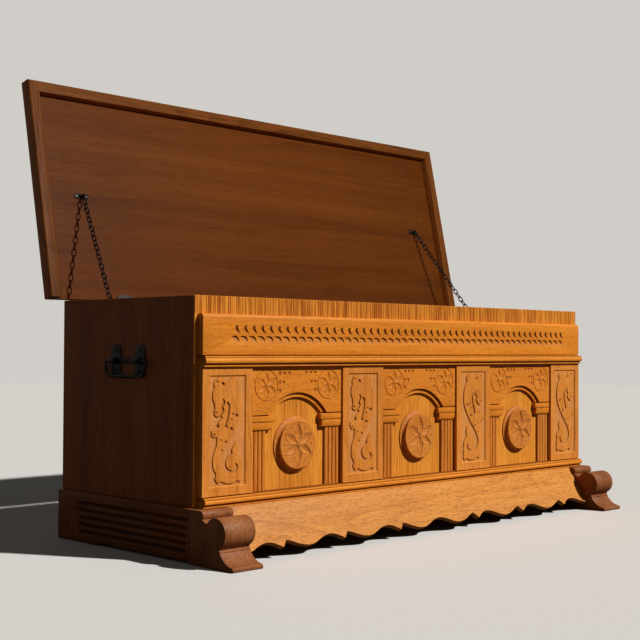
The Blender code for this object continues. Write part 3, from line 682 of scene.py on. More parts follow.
quirk_wide, quirk_dark, groove_reach, groove_back = 0.9 * mm, 0.6, 2.3 * mm, 20 * mm
for name in ("upper_moulding", "lower_moulding"):
    low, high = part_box(name)
    outline, quirks = moulding_section(low.z, high.z - low.z)
    moulding = drawn(name + "_run", outline, name)
    # Painted shade: the two quirks and the groove under the frieze are painted dark.
    mark_depth(moulding, lambda p: quirk_dark * sum(
        np.exp(-((p[:, 2] - low.z - v) / quirk_wide) ** 2) for v in quirks)
        + (p[:, 2] > high.z - groove_reach) * (p[:, 1] > front_y - groove_back))
    hand_over(moulding, front_oak, "chest", "oak_front", name, crisp=32)

# %% [markdown]
# ## The frieze and its gouge cuts
# The frieze carries two rows of gouge cuts. The carver pressed the gouge in upright, which
# leaves a steep curved wall, then pushed it flat towards that wall, which leaves a scoop.
# The cut of each row has a shape of its own. One cutter is modelled for it, the tree sets
# fifty in a row, and the row is cut out of the board. The cuts are painted darker with
# depth, a painted shade, and the bottoms of the lower row's scoops are painted paler, a
# painted highlight.

# %% Frieze board with two rows of cuts
cuts_in_row, cut_step, first_cut, gouge_depth = 50, 27.08 * mm, -666 * mm, 4.0 * mm
row_low, highlight_top, row_gap, row_high = 498 * mm, 512 * mm, 523.5 * mm, 546 * mm
upper_dark, lower_dark, highlight_depth = 1.8 * mm, 5.0 * mm, 0.8 * mm
edge_round, end_lift = 8 * mm, 0.12 * mm


def gouge_cutter(wall, run_out, steps=5, above=1.5 * mm):
    """A solid scoop: deepest at the wall line, running out to nothing at the far line."""
    bm = bmesh.new()
    bottom, top = [], []
    for share in (n / steps for n in range(steps + 1)):
        bottom.append([])
        top.append([])
        for k, (near, far) in enumerate(zip(wall, run_out)):
            along = k / (len(wall) - 1)
            u, v = (f + (n - f) * share for n, f in zip(near, far))
            sink = gouge_depth * share ** 0.8 * sin(pi * (0.08 + 0.84 * along)) ** 0.7 - end_lift
            bottom[-1].append(bm.verts.new((u, sink, v)))
            top[-1].append(bm.verts.new((u, -above, v)))
    for rows in (bottom, top):
        skin(bm, rows, around=False)
    for n in range(steps):
        for k in (0, -1):
            bm.faces.new((bottom[n][k], bottom[n + 1][k], top[n + 1][k], top[n][k]))
    for k in range(len(wall) - 1):
        for n in (0, -1):
            bm.faces.new((bottom[n][k], bottom[n][k + 1], top[n][k + 1], top[n][k]))
    bmesh.ops.recalc_face_normals(bm, faces=bm.faces)
    return loose("gouge", bm)


def in_cuts(p, low, high):
    """How deep each corner lies in the cuts between two heights, in metres."""
    cut_corners = (p[:, 1] < facade_y + gouge_depth + 0.2 * mm) * (p[:, 2] > low) * (p[:, 2] < high)
    return (p[:, 1] - facade_y - 0.3 * mm) * cut_corners


def in_mm(points):
    return [tuple(c * mm for c in point) for point in points]


low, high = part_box("frieze_board")
frieze_outline = [(front_y - gap, low.z), (front_y - gap, high.z)]
frieze_outline += arc(facade_y + edge_round, high.z - edge_round, edge_round, 90, 180, 8)
frieze_outline.append((facade_y, low.z))
frieze = ease(drawn("frieze_board_cut", frieze_outline, "frieze_board"), 0.8 * mm)

upper_wall = [(4.6, 9.0), (3.6, 6.2), (3.8, 3.0), (4.8, -0.4), (6.6, -3.6), (9.0, -6.4), (12.0, -8.8)]
upper_run = [(1.6, 9.4), (-4.2, 8.0), (-7.8, 5.0), (-9.0, 0.8), (-7.2, -3.6), (-0.8, -7.4), (8.5, -9.4)]
lower_wall = [(-12.4, 5.6), (-8.2, 7.6), (-2.4, 8.2), (3.4, 7.6), (8.2, 5.2), (11.0, 1.8), (12.0, -2.4)]
lower_run = [(-12.8, 1.8), (-10.8, -3.4), (-5.8, -7.8), (0.0, -10.4), (5.2, -11.0), (9.8, -9.8),
             (12.6, -6.6)]
for wall, run_out, height, shift in ((upper_wall, upper_run, 535 * mm, 4 * mm),
                                     (lower_wall, lower_run, 511.5 * mm, -1 * mm)):
    start = (first_cut + shift, facade_y, height)
    cut(frieze, row("gouge_row", gouge_cutter(in_mm(wall), in_mm(run_out)), cuts_in_row, start,
                    (cut_step, 0, 0)))
# Painted shade: each row's cuts are painted darker with depth.
mark_depth(frieze, lambda p: in_cuts(p, row_gap, row_high) / upper_dark
           + in_cuts(p, row_low, row_gap) / lower_dark)
# Painted highlight: the bottoms of the lower row's scoops are painted paler.
mark_depth(frieze, lambda p: in_cuts(p, row_low, highlight_top) / highlight_depth, "dust")
hand_over(frieze, front_oak, "chest", "oak_front", "frieze_board", crisp=28)

# %% [markdown]
# ## Carved faces
# The pilasters, arch boards and bosses are flat boards with shallow carving. A grid of
# small squares would leave stepped edges, so the face is triangulated instead: each cut
# line becomes an edge of the mesh, points are strewn between the lines, and a height is
# worked out for each corner. `carved_boards` then adds the sides and the back.

# %% How far from a line
def rectangle(left, bottom, right, top, step=1.0):
    """A closed line round a rectangle, cut into steps."""
    corners = [(left, bottom), (right, bottom), (right, top), (left, top)]
    line = []
    for (u0, v0), (u1, v1) in zip(corners, corners[1:] + corners[:1]):
        count = max(1, round(hypot(u1 - u0, v1 - v0) / step))
        line += [(u0 + (u1 - u0) * n / count, v0 + (v1 - v0) * n / count) for n in range(count)]
    return line


def distance(points, spot):
    return np.linalg.norm(points - spot, axis=1)


def line_distance(points, path, closed=False):
    """How far each point is from a line of short stretches."""
    start = np.asarray(path, float)
    end = np.roll(start, -1, 0) if closed else start[1:]
    start = start if closed else start[:-1]
    step = end - start
    length = np.maximum((step * step).sum(1), 1e-18)
    away = points[:, None, :] - start[None]
    share = unit((away * step[None]).sum(2) / length[None])
    return np.linalg.norm(away - share[..., None] * step[None], axis=2).min(1)


def within(points, path):
    """Which points lie inside a closed line."""
    start = np.asarray(path, float)
    end = np.roll(start, -1, 0)
    rise = np.where(end[:, 1] == start[:, 1], 1e-12, end[:, 1] - start[:, 1])
    u, v = points[:, 0:1], points[:, 1:2]
    across = (v < start[None, :, 1]) != (v < end[None, :, 1])
    meet = start[None, :, 0] + (v - start[None, :, 1]) * ((end - start)[:, 0] / rise)[None]
    return (across & (u < meet)).sum(1) % 2 == 1


def depth_inside(points, path):
    """Distance to a closed line, counted as positive inside it."""
    return line_distance(points, path, True) * np.where(within(points, path), 1, -1)


def offset_line(path, width):
    """A closed line moved outwards by a width."""
    here = np.asarray(path, float)
    along = np.roll(here, -1, 0) - np.roll(here, 1, 0)
    along /= np.linalg.norm(along, axis=1)[:, None]
    outward = np.stack((along[:, 1], -along[:, 0]), 1)
    area = (here[:, 0] * np.roll(here[:, 1], -1) - np.roll(here[:, 0], -1) * here[:, 1]).sum()
    return here + outward * width * (1 if area > 0 else -1)


trial = depth_inside(np.array([(1.0, 5.0)]), rectangle(0, 0, 10, 10))
print("in a square of 10, a point 1 from its edge lies", trial[0], "deep")

# %% Triangulated face
scatter, clearance = 0.3, 0.45


def strewn(outline, taken, pitch, seed):
    """Points about one pitch apart inside an outline, clear of the points that are taken."""
    dice = np.random.default_rng(seed)
    low, high = np.min(outline, 0), np.max(outline, 0)
    u, v = np.meshgrid(np.arange(low[0], high[0], pitch), np.arange(low[1], high[1], pitch))
    points = np.stack((u.ravel(), v.ravel()), 1)
    points += dice.uniform(-scatter, scatter, points.shape) * pitch
    points = points[within(points, outline)]
    clear = np.ones(len(points), bool)
    for some in np.array_split(np.arange(len(points)), max(1, len(points) // 500)):
        away = np.linalg.norm(points[some, None] - taken[None], axis=2).min(1)
        clear[some] = away > pitch * clearance
    return points[clear]


def carved_face(outline, closed_lines, open_lines, pitch, seed):
    """Corners and triangles of a face that has an edge along each line."""
    corners, edges = [], []
    lines = [(path, True) for path in (outline, *closed_lines)] + [(path, False) for path in open_lines]
    for path, closed in lines:
        first = len(corners)
        corners += [tuple(p) for p in path]
        edges += [(first + n, first + n + 1) for n in range(len(path) - 1)]
        if closed:
            edges.append((len(corners) - 1, first))
    filler = strewn(np.asarray(outline, float), np.asarray(corners, float), pitch, seed)
    corners += [tuple(p) for p in filler]
    made = delaunay_2d_cdt([Vector(p) for p in corners], edges, [], 0, 1e-7)
    points = np.array([tuple(p) for p in made[0]])
    triangles = np.array(made[2])
    return points, triangles[within(points[triangles].mean(1), outline)]


print("points are strewn up to", scatter, "of a pitch from their grid,", clearance, "clear of the lines")

# %% Carved boards
def lay_face(points, triangles, heights, shift_u, shift_v, face):
    """The triangles of a carved face, moved to their place on the chest."""
    bm = bmesh.new()
    front = {n: bm.verts.new((points[n, 0] + shift_u, face - heights[n], points[n, 1] + shift_v))
             for n in np.unique(triangles)}
    for triangle in triangles:
        bm.faces.new([front[n] for n in triangle])
    return bm


def carved_boards(names, finish, points, triangles, heights, marks, face, width, turned_over=()):
    """A board for each name: its front follows the heights, its rim is drawn back to a flat back."""
    mirrored = np.stack((width - points[:, 0], points[:, 1]), 1)
    for name in names:
        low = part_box(name)[0]
        bm = lay_face(mirrored if name in turned_over else points, triangles, heights, low.x, low.z, face)
        rim = [edge for edge in bm.edges if edge.is_boundary]
        behind = {}
        for edge in rim:
            for vert in edge.verts:
                if vert not in behind:
                    behind[vert] = bm.verts.new((vert.co.x, front_y - gap, vert.co.z))
        back_edges = []
        for edge in rim:
            a, b = edge.verts
            bm.faces.new((a, b, behind[b], behind[a]))
            back_edges.append(bm.edges.get((behind[a], behind[b])))
        bmesh.ops.contextual_create(bm, geom=back_edges)
        bmesh.ops.recalc_face_normals(bm, faces=bm.faces)
        board = loose(name + "_relief", bm)
        for mark, values in marks.items():
            write_mark(board, mark, values[np.unique(triangles)])
        hand_over(board, finish, "chest", "oak_carved", name)


def groove(away, half_width, depth):
    """A V-shaped cut: full depth on its line, nothing beyond its half width."""
    return depth * unit(1 - away / half_width)


def bell(away, width):
    """One on a line, fading to nothing over about a width."""
    return np.exp(-(away / width) ** 2)


print("a groove of depth 2 is", groove(0.5, 1, 2), "deep halfway to its edge")

# %% [markdown]
# ## Carved pilasters
# Four upright boards part the bays. The middle of each is sunk by almost 3 mm inside a
# plain border, and a leafy scroll stands up in it, cut with a knife line all round, a few
# veins and small round chips. Painted shade darkens the veins and chips and runs in thin
# lines along the foot of the scroll and of the border's wall. The ground is left rough from
# the gouge, and holds dust.
# The same scroll serves all four; the two on the right are turned over, left to right.

# %% Scroll, veins and chips
scroll_line = in_mm([
    (40, 268), (36, 262), (34.5, 256), (36, 249.5), (32, 240), (31, 226), (35.5, 214), (37.5, 202),
    (35.5, 191), (39, 184.5), (47, 182), (53, 184), (62, 179), (52, 172), (45, 162), (45, 156), (29, 151),
    (29.5, 139.5), (36, 135), (42, 136), (44, 130), (42, 113), (35, 96), (32, 79), (35, 62), (41, 53),
    (41, 46), (39, 40), (45, 31), (50, 29), (54, 33), (63, 31), (73, 27), (88, 26.6), (94, 27.6), (105, 31),
    (113, 27), (120, 34), (119, 45), (121, 56), (118, 66), (119, 76), (116, 82), (108, 92), (106, 100),
    (109, 110), (104, 121), (99, 119), (93, 110), (89, 102), (91, 95), (84, 92), (76, 86.5), (72, 78),
    (72, 70), (76, 62.5), (84, 57), (93, 56), (98, 60), (99, 66), (101, 73), (106, 69), (108, 62), (104, 54),
    (95, 49), (84, 48.5), (72, 51), (62, 58), (55, 68), (53.5, 80), (57, 93), (66, 108), (77, 121),
    (94, 143), (108, 165), (117, 186), (119, 208), (116, 225), (110, 240), (103, 250), (107, 256),
    (106, 264), (98, 270), (86, 269), (76, 262), (67, 264), (60, 270), (50, 273)])
vein_lines = (((75, 214), (80, 208), (80, 195), (77, 181), (72, 166), (69, 160)),
              ((63, 221), (66, 213), (60, 204), (63, 195), (54, 183)))
chip_spots = in_mm([
    (102, 182, 6.4), (86, 151, 6.4), (69, 122, 4.8), (58, 103, 4.4), (45, 159, 6.0), (109, 29, 4.0),
    (42, 262, 4.4), (39.5, 191, 4.6), (91, 186, 4.2), (86, 173, 4.0), (71, 157, 5.4), (54, 127, 4.2),
    (34, 140, 4.4), (39, 112, 4.0), (60, 256, 6.4)])
print("scroll:", len(scroll_line), "points,", len(vein_lines), "veins and", len(chip_spots), "chips")

# %% Pilaster relief
border, sunk, lift, wall_run, field_run = 19.5 * mm, 2.9 * mm, 2.8 * mm, 0.8 * mm, 3.0 * mm
crest_lift, crest_run, rough_ground, pilaster_pitch = 0.4 * mm, 1.3 * mm, 0.16 * mm, 2.6 * mm
edge_step, field_step, chip_deep, chip_rise = 12 * mm, 4 * mm, 0.7, 0.55
cut_dark, foot_dark, field_dark = 2.6 * mm, 0.35, 0.12
vein_wide, vein_deep, chip_lean, line_wide = 2.8 * mm, 3.4 * mm, np.array((0.7, 0.5)), 1.0 * mm

low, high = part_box("carved_pilaster_1")
board_width, board_height = high.x - low.x, high.z - low.z
scroll_shift = np.array((0, 0.150 - low.z))
scroll = np.array(rounded(scroll_line, 3)) + scroll_shift
veins = [np.array(rounded(in_mm(line), 4, False)) + scroll_shift for line in vein_lines]
chips = [(np.array((u, v)) + scroll_shift, size) for u, v, size in chip_spots]


def ring(centre, radius, steps):
    """Points round a full circle."""
    turns = [2 * pi * n / steps for n in range(steps)]
    return [(centre[0] + radius * cos(t), centre[1] + radius * sin(t)) for t in turns]


def inset(margin, step):
    return rectangle(margin, margin, board_width - margin, board_height - margin, step)


board_line, field_line = inset(0, edge_step), inset(border, field_step)
field_foot = rectangle(border + field_run, border + field_run, board_width - border - field_run,
                       board_height - border - field_run, field_step)
loops = [field_line, field_foot, scroll, offset_line(scroll, wall_run), offset_line(scroll, -crest_run)]
loops += [ring(chip, size * share, 12) for chip, size in chips for share in (1, 0.6)]
for vein in veins:
    slope = np.gradient(vein, axis=0)
    across = np.stack((-slope[:, 1], slope[:, 0]), 1) / np.linalg.norm(slope, axis=1)[:, None]
    loops.append(np.concatenate((vein + across * vein_wide, (vein - across * vein_wide)[::-1])))
points, triangles = carved_face(board_line, loops, veins, pilaster_pitch, 11)

in_field, in_scroll = depth_inside(points, field_line), depth_inside(points, scroll)
dice = np.random.default_rng(5)
heights = -sunk * unit(in_field / field_run)
heights += ((lift - crest_lift) * unit((in_scroll + wall_run) / wall_run)
            + crest_lift * unit(in_scroll / crest_run))
ground = unit(-in_scroll / wall_run - 1) * unit(in_field / field_run - 1)
heights += ground * dice.normal(0, rough_ground, len(points))
cuts = np.zeros(len(points))
for vein in veins:
    cuts += groove(line_distance(points, vein), vein_wide, vein_deep)
for chip, size in chips:
    lean_to = unit(chip_rise + ((points - chip) @ chip_lean) / size)
    bowl = chip_deep * size * unit(1 - (distance(points, chip) / size) ** 2)
    cuts = np.maximum(cuts, bowl * lean_to)
cuts *= unit(in_scroll / (0.5 * mm) + 1)
heights -= cuts
# Painted shade: darker in the veins and chips, and in thin lines along the foot of the scroll and of the
# field's wall.
dark = (cuts / cut_dark + foot_dark * bell(in_scroll + wall_run, line_wide)
        + field_dark * bell(in_field - field_run, line_wide))
names = [f"carved_pilaster_{number}" for number in range(1, 5)]
carved_boards(names, carved_oak, points, triangles, heights, {"hollow": dark, "dust": ground}, facade_y,
              board_width, names[2:])

# %% [markdown]
# ## The compass flower
# The arch boards and the bosses carry the same flower, drawn with compasses: six hollow
# leaves with a knife line round each, a dot between their tips, and a button in the
# middle. All its measures are shares of its radius, so one drawing serves every size.

# %% The compass flower
leaf_near, leaf_far, leaf_wide, leaf_steps, knife_wide = 0.06, 0.92, 0.19, 12, 0.026
dot_out, dot_size, dot_deep, button_size, button_edge = 0.8, 0.046, 0.8, 0.08, 0.04
knife_deep, hollow_run, dot_dark, knife_dark, button_dark, button_line = 0.6, 0.125, 0.65, 0.6, 0.4, 0.018


def petal(centre, turn, near, far, half_width):
    """The edge of a pointed leaf from near to far of a centre."""
    aim, side = np.array((cos(turn), sin(turn))), np.array((-sin(turn), cos(turn)))
    shares = [n / leaf_steps for n in range(leaf_steps + 1)]
    leaf = [(np.array(centre) + aim * (near + (far - near) * share),
             side * (half_width * sin(pi * share ** 0.85))) for share in shares]
    return [middle + swell for middle, swell in leaf] + [middle - swell for middle, swell in leaf[-2:0:-1]]


def flower_lines(centre, radius):
    """Cut lines of a compass flower: its six leaves, and the dots between them."""
    leaves = [petal(centre, radians(90 + 60 * n), leaf_near * radius, leaf_far * radius, leaf_wide * radius)
              for n in range(6)]
    dots = [(centre[0] + dot_out * radius * cos(radians(60 * n)),
             centre[1] + dot_out * radius * sin(radians(60 * n))) for n in range(6)]
    loops = [offset_line(leaf, shift * knife_wide * radius) for leaf in leaves for shift in (-1, 0, 1)]
    loops += [ring(dot, dot_size * radius, 9) for dot in dots]
    loops += [ring(centre, size * radius, 16) for size in (button_size / 2, button_size)]
    return loops, leaves, dots


def flower_cuts(points, centre, radius, leaves, dots, depth):
    """How deep the flower is cut at each point, and the painted shade in its dots, knife lines and round its
    button.
    """
    in_leaf = np.max([depth_inside(points, leaf) for leaf in leaves], axis=0)
    knife = groove(np.abs(in_leaf), knife_wide * radius, knife_deep * depth)
    hollow = depth * unit(in_leaf / (hollow_run * radius)) ** 0.7
    dot_cut = np.zeros(len(points))
    for dot in dots:
        away = distance(points, dot) / (dot_size * radius)
        dot_cut = np.maximum(dot_cut, dot_deep * depth * unit(1 - away ** 2))
    from_centre = distance(points, centre) / radius
    button = unit((button_size - from_centre) / button_edge)
    # Painted shade in the dots, the knife lines and round the button.
    dark = (dot_dark * dot_cut / depth + knife_dark * knife / depth
            + button_dark * bell(from_centre - button_size, button_line))
    return np.maximum(np.maximum(knife, hollow), dot_cut) * (1 - button), dark


print("a flower has", len(flower_lines((0, 0), 1)[0]), "cut lines")

# %% [markdown]
# ## Arch boards
# Each bay is closed at the top by a board sawn to a flat arch, with a step cut along its
# edge. In each upper corner a round groove holds a flower. Small three-sided chips stand
# between the flowers in rows of three, two and one, like a triangle.

# %% Arch board relief
arch_height, arch_radius, arch_step, step_sink, step_run = 260 * mm, 123 * mm, 11.4 * mm, 6 * mm, 0.3 * mm
flower_radius, flower_reach, flower_height, flower_deep = 37 * mm, 104.6 * mm, 401 * mm, 2.7 * mm
ring_wide, ring_deep, ring_dark, leaves_radius = 1.3 * mm, 1.6 * mm, 0.7, flower_radius - 1.5 * mm
arch_pitch, chip_slope, chip_dark, corner_dark, corner_wide = 5.0 * mm, 1.15, 1.8 * mm, 0.8, 1.2 * mm
chip_rows, chip_size, chip_turn = ((430.8, (29, 45, 60)), (408.3, (47, 60)), (388.4, (60,))), 6.8 * mm, 0.25

low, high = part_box("arch_panel_1")
board_width, board_height = high.x - low.x, high.z - low.z
arch_centre = np.array((board_width / 2, arch_height - low.z))
inner_radius = arch_radius - arch_step
spring = degrees(asin((low.z - arch_height) / inner_radius))
opening = [(arch_centre[0] + u, v) for u, v in arc(0, arch_centre[1], inner_radius, 180 - spring, spring, 44)]
board_line = [(board_width, 0), (board_width, board_height), (0, board_height), (0, 0)] + opening


def arch_line(radius):
    start = degrees(asin(-arch_centre[1] / radius))
    return arc(*arch_centre, radius, 180 - start, start, 46)


def chip_line(centre, turn):
    """The three corners of a small chip."""
    turns = [turn + pi + 2 * pi * n / 3 for n in range(3)]
    return [(centre[0] + chip_size * sin(t), centre[1] + chip_size * cos(t)) for t in turns]


flowers = [np.array((arch_centre[0] + sign * flower_reach, flower_height - low.z)) for sign in (-1, 1)]
chips = [chip_line((arch_centre[0] + sign * u * mm, v * mm - low.z), sign * chip_turn)
         for sign in (-1, 1) for v, row_places in chip_rows for u in row_places]
carvings = [(flower, *flower_lines(flower, leaves_radius)) for flower in flowers]
loops = [loop for _, some, _, _ in carvings for loop in some] + chips
loops += [ring(flower, flower_radius + shift, 54) for flower in flowers
          for shift in (-ring_wide, 0, ring_wide)]
lines = [arch_line(arch_radius), arch_line(arch_radius - step_run)]
lines += [[corner, np.mean(triangle, 0)] for triangle in chips for corner in triangle]
points, triangles = carved_face(board_line, loops, lines, arch_pitch, 12)

# Painted shade: the flowers' cuts, the ring groove and the chips are painted darker.
cuts, dark = np.zeros(len(points)), np.zeros(len(points))
for flower, _, leaves, dots in carvings:
    away = np.abs(distance(points, flower) - flower_radius)
    for depth, shadow in (flower_cuts(points, flower, leaves_radius, leaves, dots, flower_deep),
                          (groove(away, ring_wide, ring_deep), groove(away, ring_wide, ring_dark))):
        cuts, dark = np.maximum(cuts, depth), np.maximum(dark, shadow)
for triangle in chips:
    depth = unit(depth_inside(points, triangle)) * chip_slope
    cuts, dark = np.maximum(cuts, depth), np.maximum(dark, depth / chip_dark)
from_arch = distance(points, arch_centre)
step = unit((arch_radius - from_arch) / step_run)
# Painted shade: a dark line along the inner corner of the arch's step.
dark = unit(dark + corner_dark * bell(from_arch - arch_radius + step_run, corner_wide) * (step > 0.5))
carved_boards([f"arch_panel_{number}" for number in range(1, 4)], arch_oak, points, triangles,
              -cuts - step_sink * step, {"hollow": dark}, low.y, board_width)

# %% [markdown]
# ## Round bosses
# The boss in each bay was turned on a lathe: a thin base, a hollow moulding and a flat
# face. The face was then carved by hand with a six-leaved flower, whose ground is sunk a
# little so that the leaves stand up. The turned part is spun from its profile, and the
# carved face is welded into it.

# %% Boss relief
face_radius, boss_radius, boss_depth, face_steps = 56 * mm, 70 * mm, 15 * mm, 96
base, cove_top, cove_run, face_edge, soft = 3 * mm, 11.5 * mm, 11.5 * mm, 60 * mm, 0.4 * mm
boss_deep, face_sunk, face_rough, boss_pitch, weld = 3.3 * mm, 0.3 * mm, 0.04 * mm, 2.8 * mm, 0.02 * mm
cove_share = ((0.16, 0.03), (0.30, 0.08), (0.45, 0.16), (0.58, 0.26), (0.70, 0.38), (0.80, 0.52),
              (0.88, 0.65), (0.94, 0.78), (0.98, 0.90), (1.0, 1.0))
loops, leaves, dots = flower_lines((0, 0), face_radius)
points, triangles = carved_face(ring((0, 0), face_radius, face_steps), loops, [], boss_pitch, 13)
depth, dark = flower_cuts(points, (0, 0), face_radius, leaves, dots, boss_deep)
dice = np.random.default_rng(8)
heights = -depth - face_sunk * (distance(points, (0, 0)) < face_radius - 1 * mm)
heights += dice.normal(0, face_rough, len(points)) * (depth < 0.01 * mm)
used = np.unique(triangles)

boss_profile = [(boss_radius - soft, gap), (boss_radius, gap + soft), (boss_radius, base)]
boss_profile += [(boss_radius - cove_run * u, base + (cove_top - base) * v) for u, v in cove_share]
boss_profile += [(face_edge, cove_top + 0.2 * mm), (face_edge, boss_depth - 1.4 * mm),
                 (59.5 * mm, boss_depth - 0.5 * mm), (58.4 * mm, boss_depth), (face_radius, boss_depth)]
for name in ("rosette_1", "rosette_2", "rosette_3"):
    low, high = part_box(name)
    centre = ((low + high) / 2).xz
    bm = lay_face(points, triangles, heights, *centre, front_y - boss_depth)
    circles = [[bm.verts.new((u, front_y - out, v)) for u, v in ring(centre, radius, face_steps)]
               for radius, out in boss_profile]
    skin(bm, circles)
    bm.faces.new(circles[0])
    bmesh.ops.remove_doubles(bm, verts=bm.verts, dist=weld)
    boss = loose(name + "_turned", bm)
    # The flower's painted shade goes to the nearest corners on the boss's face.
    flat = np.array([v.co.xz for v in boss.data.vertices]) - centre
    on_face = distance(flat, (0, 0)) < face_radius - 0.01 * mm
    marks = np.zeros(len(flat))
    marks[on_face] = dark[used][[np.argmin(((points[used] - spot) ** 2).sum(1)) for spot in flat[on_face]]]
    write_mark(boss, "hollow", marks)
    hand_over(boss, boss_oak, "chest", "oak_carved", name)

# %% [markdown]
# ## Reeded half columns and their capitals
# A half column is four reeds on a thin strip, worked with a beading plane. One reed is
# made, the row tree sets four side by side, and the copies tree sets the column in the
# six places. The capital is a square fillet over a round that draws in downwards and
# stops short of the fillet at the end that looks into the bay.

# %% Columns and capitals
reed_pitch, reed_depth, column_depth = 13 * mm, 5.2 * mm, 7.5 * mm
fillet, reach, draw_in, step_back, drop_in = 17.8 * mm, 12.8 * mm, 3.8 * mm, 5 * mm, 2.6 * mm
reed_dark, quirk_power, shadow_wide, foot_wide, foot_shade = 0.85, 2.2, 0.6 * mm, 0.4 * mm, 0.8
ovolo_share = ((0.02, 0.00), (0.00, 0.10), (0.02, 0.28), (0.09, 0.48), (0.20, 0.64), (0.36, 0.79),
               (0.60, 0.92), (0.82, 0.98), (1.0, 1.0))


def spots_of(names, end):
    """Where copies sit on the front board: at the foot of their solids (end 0) or at the head (1)."""
    boxes = [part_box(name) for name in names]
    return [(((low.x + high.x) / 2, front_y - gap, (low.z, high.z)[end]), (0, 0, 0))
            for low, high in boxes]


low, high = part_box("column_1")
reed_section = [(-reed_pitch / 2, 0)]
reed_section += [(u, -(column_depth - gap - reed_depth) - v * reed_depth / (reed_pitch / 2))
                 for u, v in arc(0, 0, reed_pitch / 2, 176, 4, 14)]
reed_section.append((reed_pitch / 2, 0))
reed = loose("reed", section(reed_section, "z", 0, high.z - low.z))
column_seed = row("column_seed", reed, 4, (-1.5 * reed_pitch, 0, 0), (reed_pitch, 0, 0))
names = [f"column_{n}" for n in range(1, 7)]
columns = copies_on("reeded_columns", column_seed, spots_of(names, 0), column_oak)
# Painted shade: the reeds darken towards the bottoms of their grooves.
mark_depth(columns, lambda p: reed_dark
           * unit((p[:, 1] - (front_y - column_depth)) / reed_depth) ** quirk_power)
hand_over(columns, column_oak, "chest", "oak_front", *names, crisp=40)

low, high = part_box("capital_1")
capital_width, capital_height = high.x - low.x, high.z - low.z
fillet_section = [(0, -fillet), (0, -drop_in), (-(reach - 1.6 * mm), -drop_in),
                  (-(reach - 0.4 * mm), -drop_in - 0.8 * mm), (-reach, -drop_in - 2.4 * mm),
                  (-reach, -fillet + 3.0 * mm), (-(reach - 0.6 * mm), -fillet + 1.2 * mm),
                  (-(reach - 2.0 * mm), -fillet)]
ovolo_section = [(0, -capital_height), (0, -fillet)]
ovolo_section += [(-(reach - 0.4 * mm - draw_in * u), -fillet - (capital_height - fillet) * v)
                  for u, v in ovolo_share]


def capital(inward):
    """Fillet and ovolo; the ovolo stops short of the fillet on the side of the arch."""
    half = capital_width / 2
    ends = sorted((-inward * half, inward * (half - step_back)))
    blocks = (loose("fillet", section(fillet_section, "x", -half, half)),
              loose("ovolo", section(ovolo_section, "x", *ends)))
    return join(*(ease(block, 0.9 * mm) for block in blocks))


names = [f"capital_{n}" for n in range(1, 7)]
capitals = join(*[copies_on("capitals", capital(inward), spots_of(names[first::2], 1), front_oak)
                  for inward, first in ((1, 0), (-1, 1))])
# Painted shade: a dark line where fillet meets ovolo, and a darker foot to the ovolo.
mark_depth(capitals, lambda p: bell(p[:, 2] - high.z + fillet, shadow_wide)
           + (p[:, 2] < high.z - capital_height + foot_wide) * foot_shade)
hand_over(capitals, front_oak, "chest", "oak_front", *names, crisp=36)

# %% [markdown]
# ## The scalloped apron
# The board between the feet leans forward as it goes down, and its lower edge is sawn to
# a wave. The wave is given for one stretch, repeated outwards from the middle, and the
# upright board is then leaned by moving each corner forward. The saw was held square to
# the board, so the wave is a little lower at the back, and its sawn face shows.

# %% Apron
wave = ((0.00, 0.16), (0.05, 0.46), (0.10, 0.74), (0.16, 0.95), (0.22, 1.00), (0.30, 0.90), (0.38, 0.62),
        (0.46, 0.27), (0.53, 0.06), (0.60, 0.00), (0.68, 0.12), (0.76, 0.38), (0.83, 0.69), (0.885, 0.90),
        (0.925, 1.00))
wave_pitch, wave_start, wave_low, wave_rise = 207 * mm, 162 * mm, 24 * mm, 17 * mm
apron_reach, apron_low_reach, apron_thick, edge_drop = 27 * mm, 93 * mm, 16 * mm, 7.5 * mm

low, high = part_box("front_apron")
edge = [(wave_start + (turn + u) * wave_pitch, wave_low + v * wave_rise)
        for turn in range(-1, 4) for u, v in wave]
middle = [p for p in edge if p[0] <= 0][-1]
edge = [p for p in edge if 0 < p[0] < high.x]
half_edge = [(0, middle[1])] + edge + [(high.x, edge[-1][1])]
outline = [(-u, v) for u, v in reversed(half_edge)][:-1] + half_edge + [(high.x, high.z), (-high.x, high.z)]
bm = section(outline, "y", front_y - apron_reach, front_y - apron_reach + apron_thick)
lean = (apron_low_reach - apron_reach) / (high.z - wave_low)
for vert in bm.verts:
    if vert.co.y > front_y - apron_reach + apron_thick / 2 and vert.co.z < high.z - wave_rise:
        vert.co.z -= edge_drop
    vert.co.y -= (high.z - vert.co.z) * lean
apron = ease(loose("scalloped_apron", bm), 1.4 * mm, 3, 45)
hand_over(apron, apron_oak, "chest", "oak_front", "front_apron")

# %% [markdown]
# ## Scroll feet
# Each foot is a thick block sawn to a scroll: a lip at the top, a deep notch, a full
# bulge, a hollow neck with a fine ridge, and a flared toe. Its side view is drawn from a
# few arcs and pulled through the width of the block, and its edges are rubbed round.

# %% Feet
foot_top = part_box("left_foot")[1].z
lobe, lobe_out, notch = 11.2 * mm, 39 * mm, (56.5 * mm, 99.5 * mm)
bulge, bulge_radius, neck = (92.5 * mm, 79.5 * mm), 34.5 * mm, (106.2 * mm, 43.0 * mm)
neck_run = in_mm([(0.9, 4.0), (0.0, 0.0), (0.6, -1.2), (2.4, -1.8), (3.4, -3.0), (3.6, -4.4), (3.0, -5.8)])
toe_reach, toe_height, toe_soft = 153.4 * mm, 10 * mm, 2 * mm
flare_share = ((0.07, 0.18), (0.16, 0.34), (0.25, 0.49), (0.34, 0.62), (0.45, 0.74), (0.56, 0.83),
               (0.68, 0.90), (0.80, 0.95), (0.92, 0.985))


def moved(line, shift):
    return [(u + shift[0], v + shift[1]) for u, v in line]


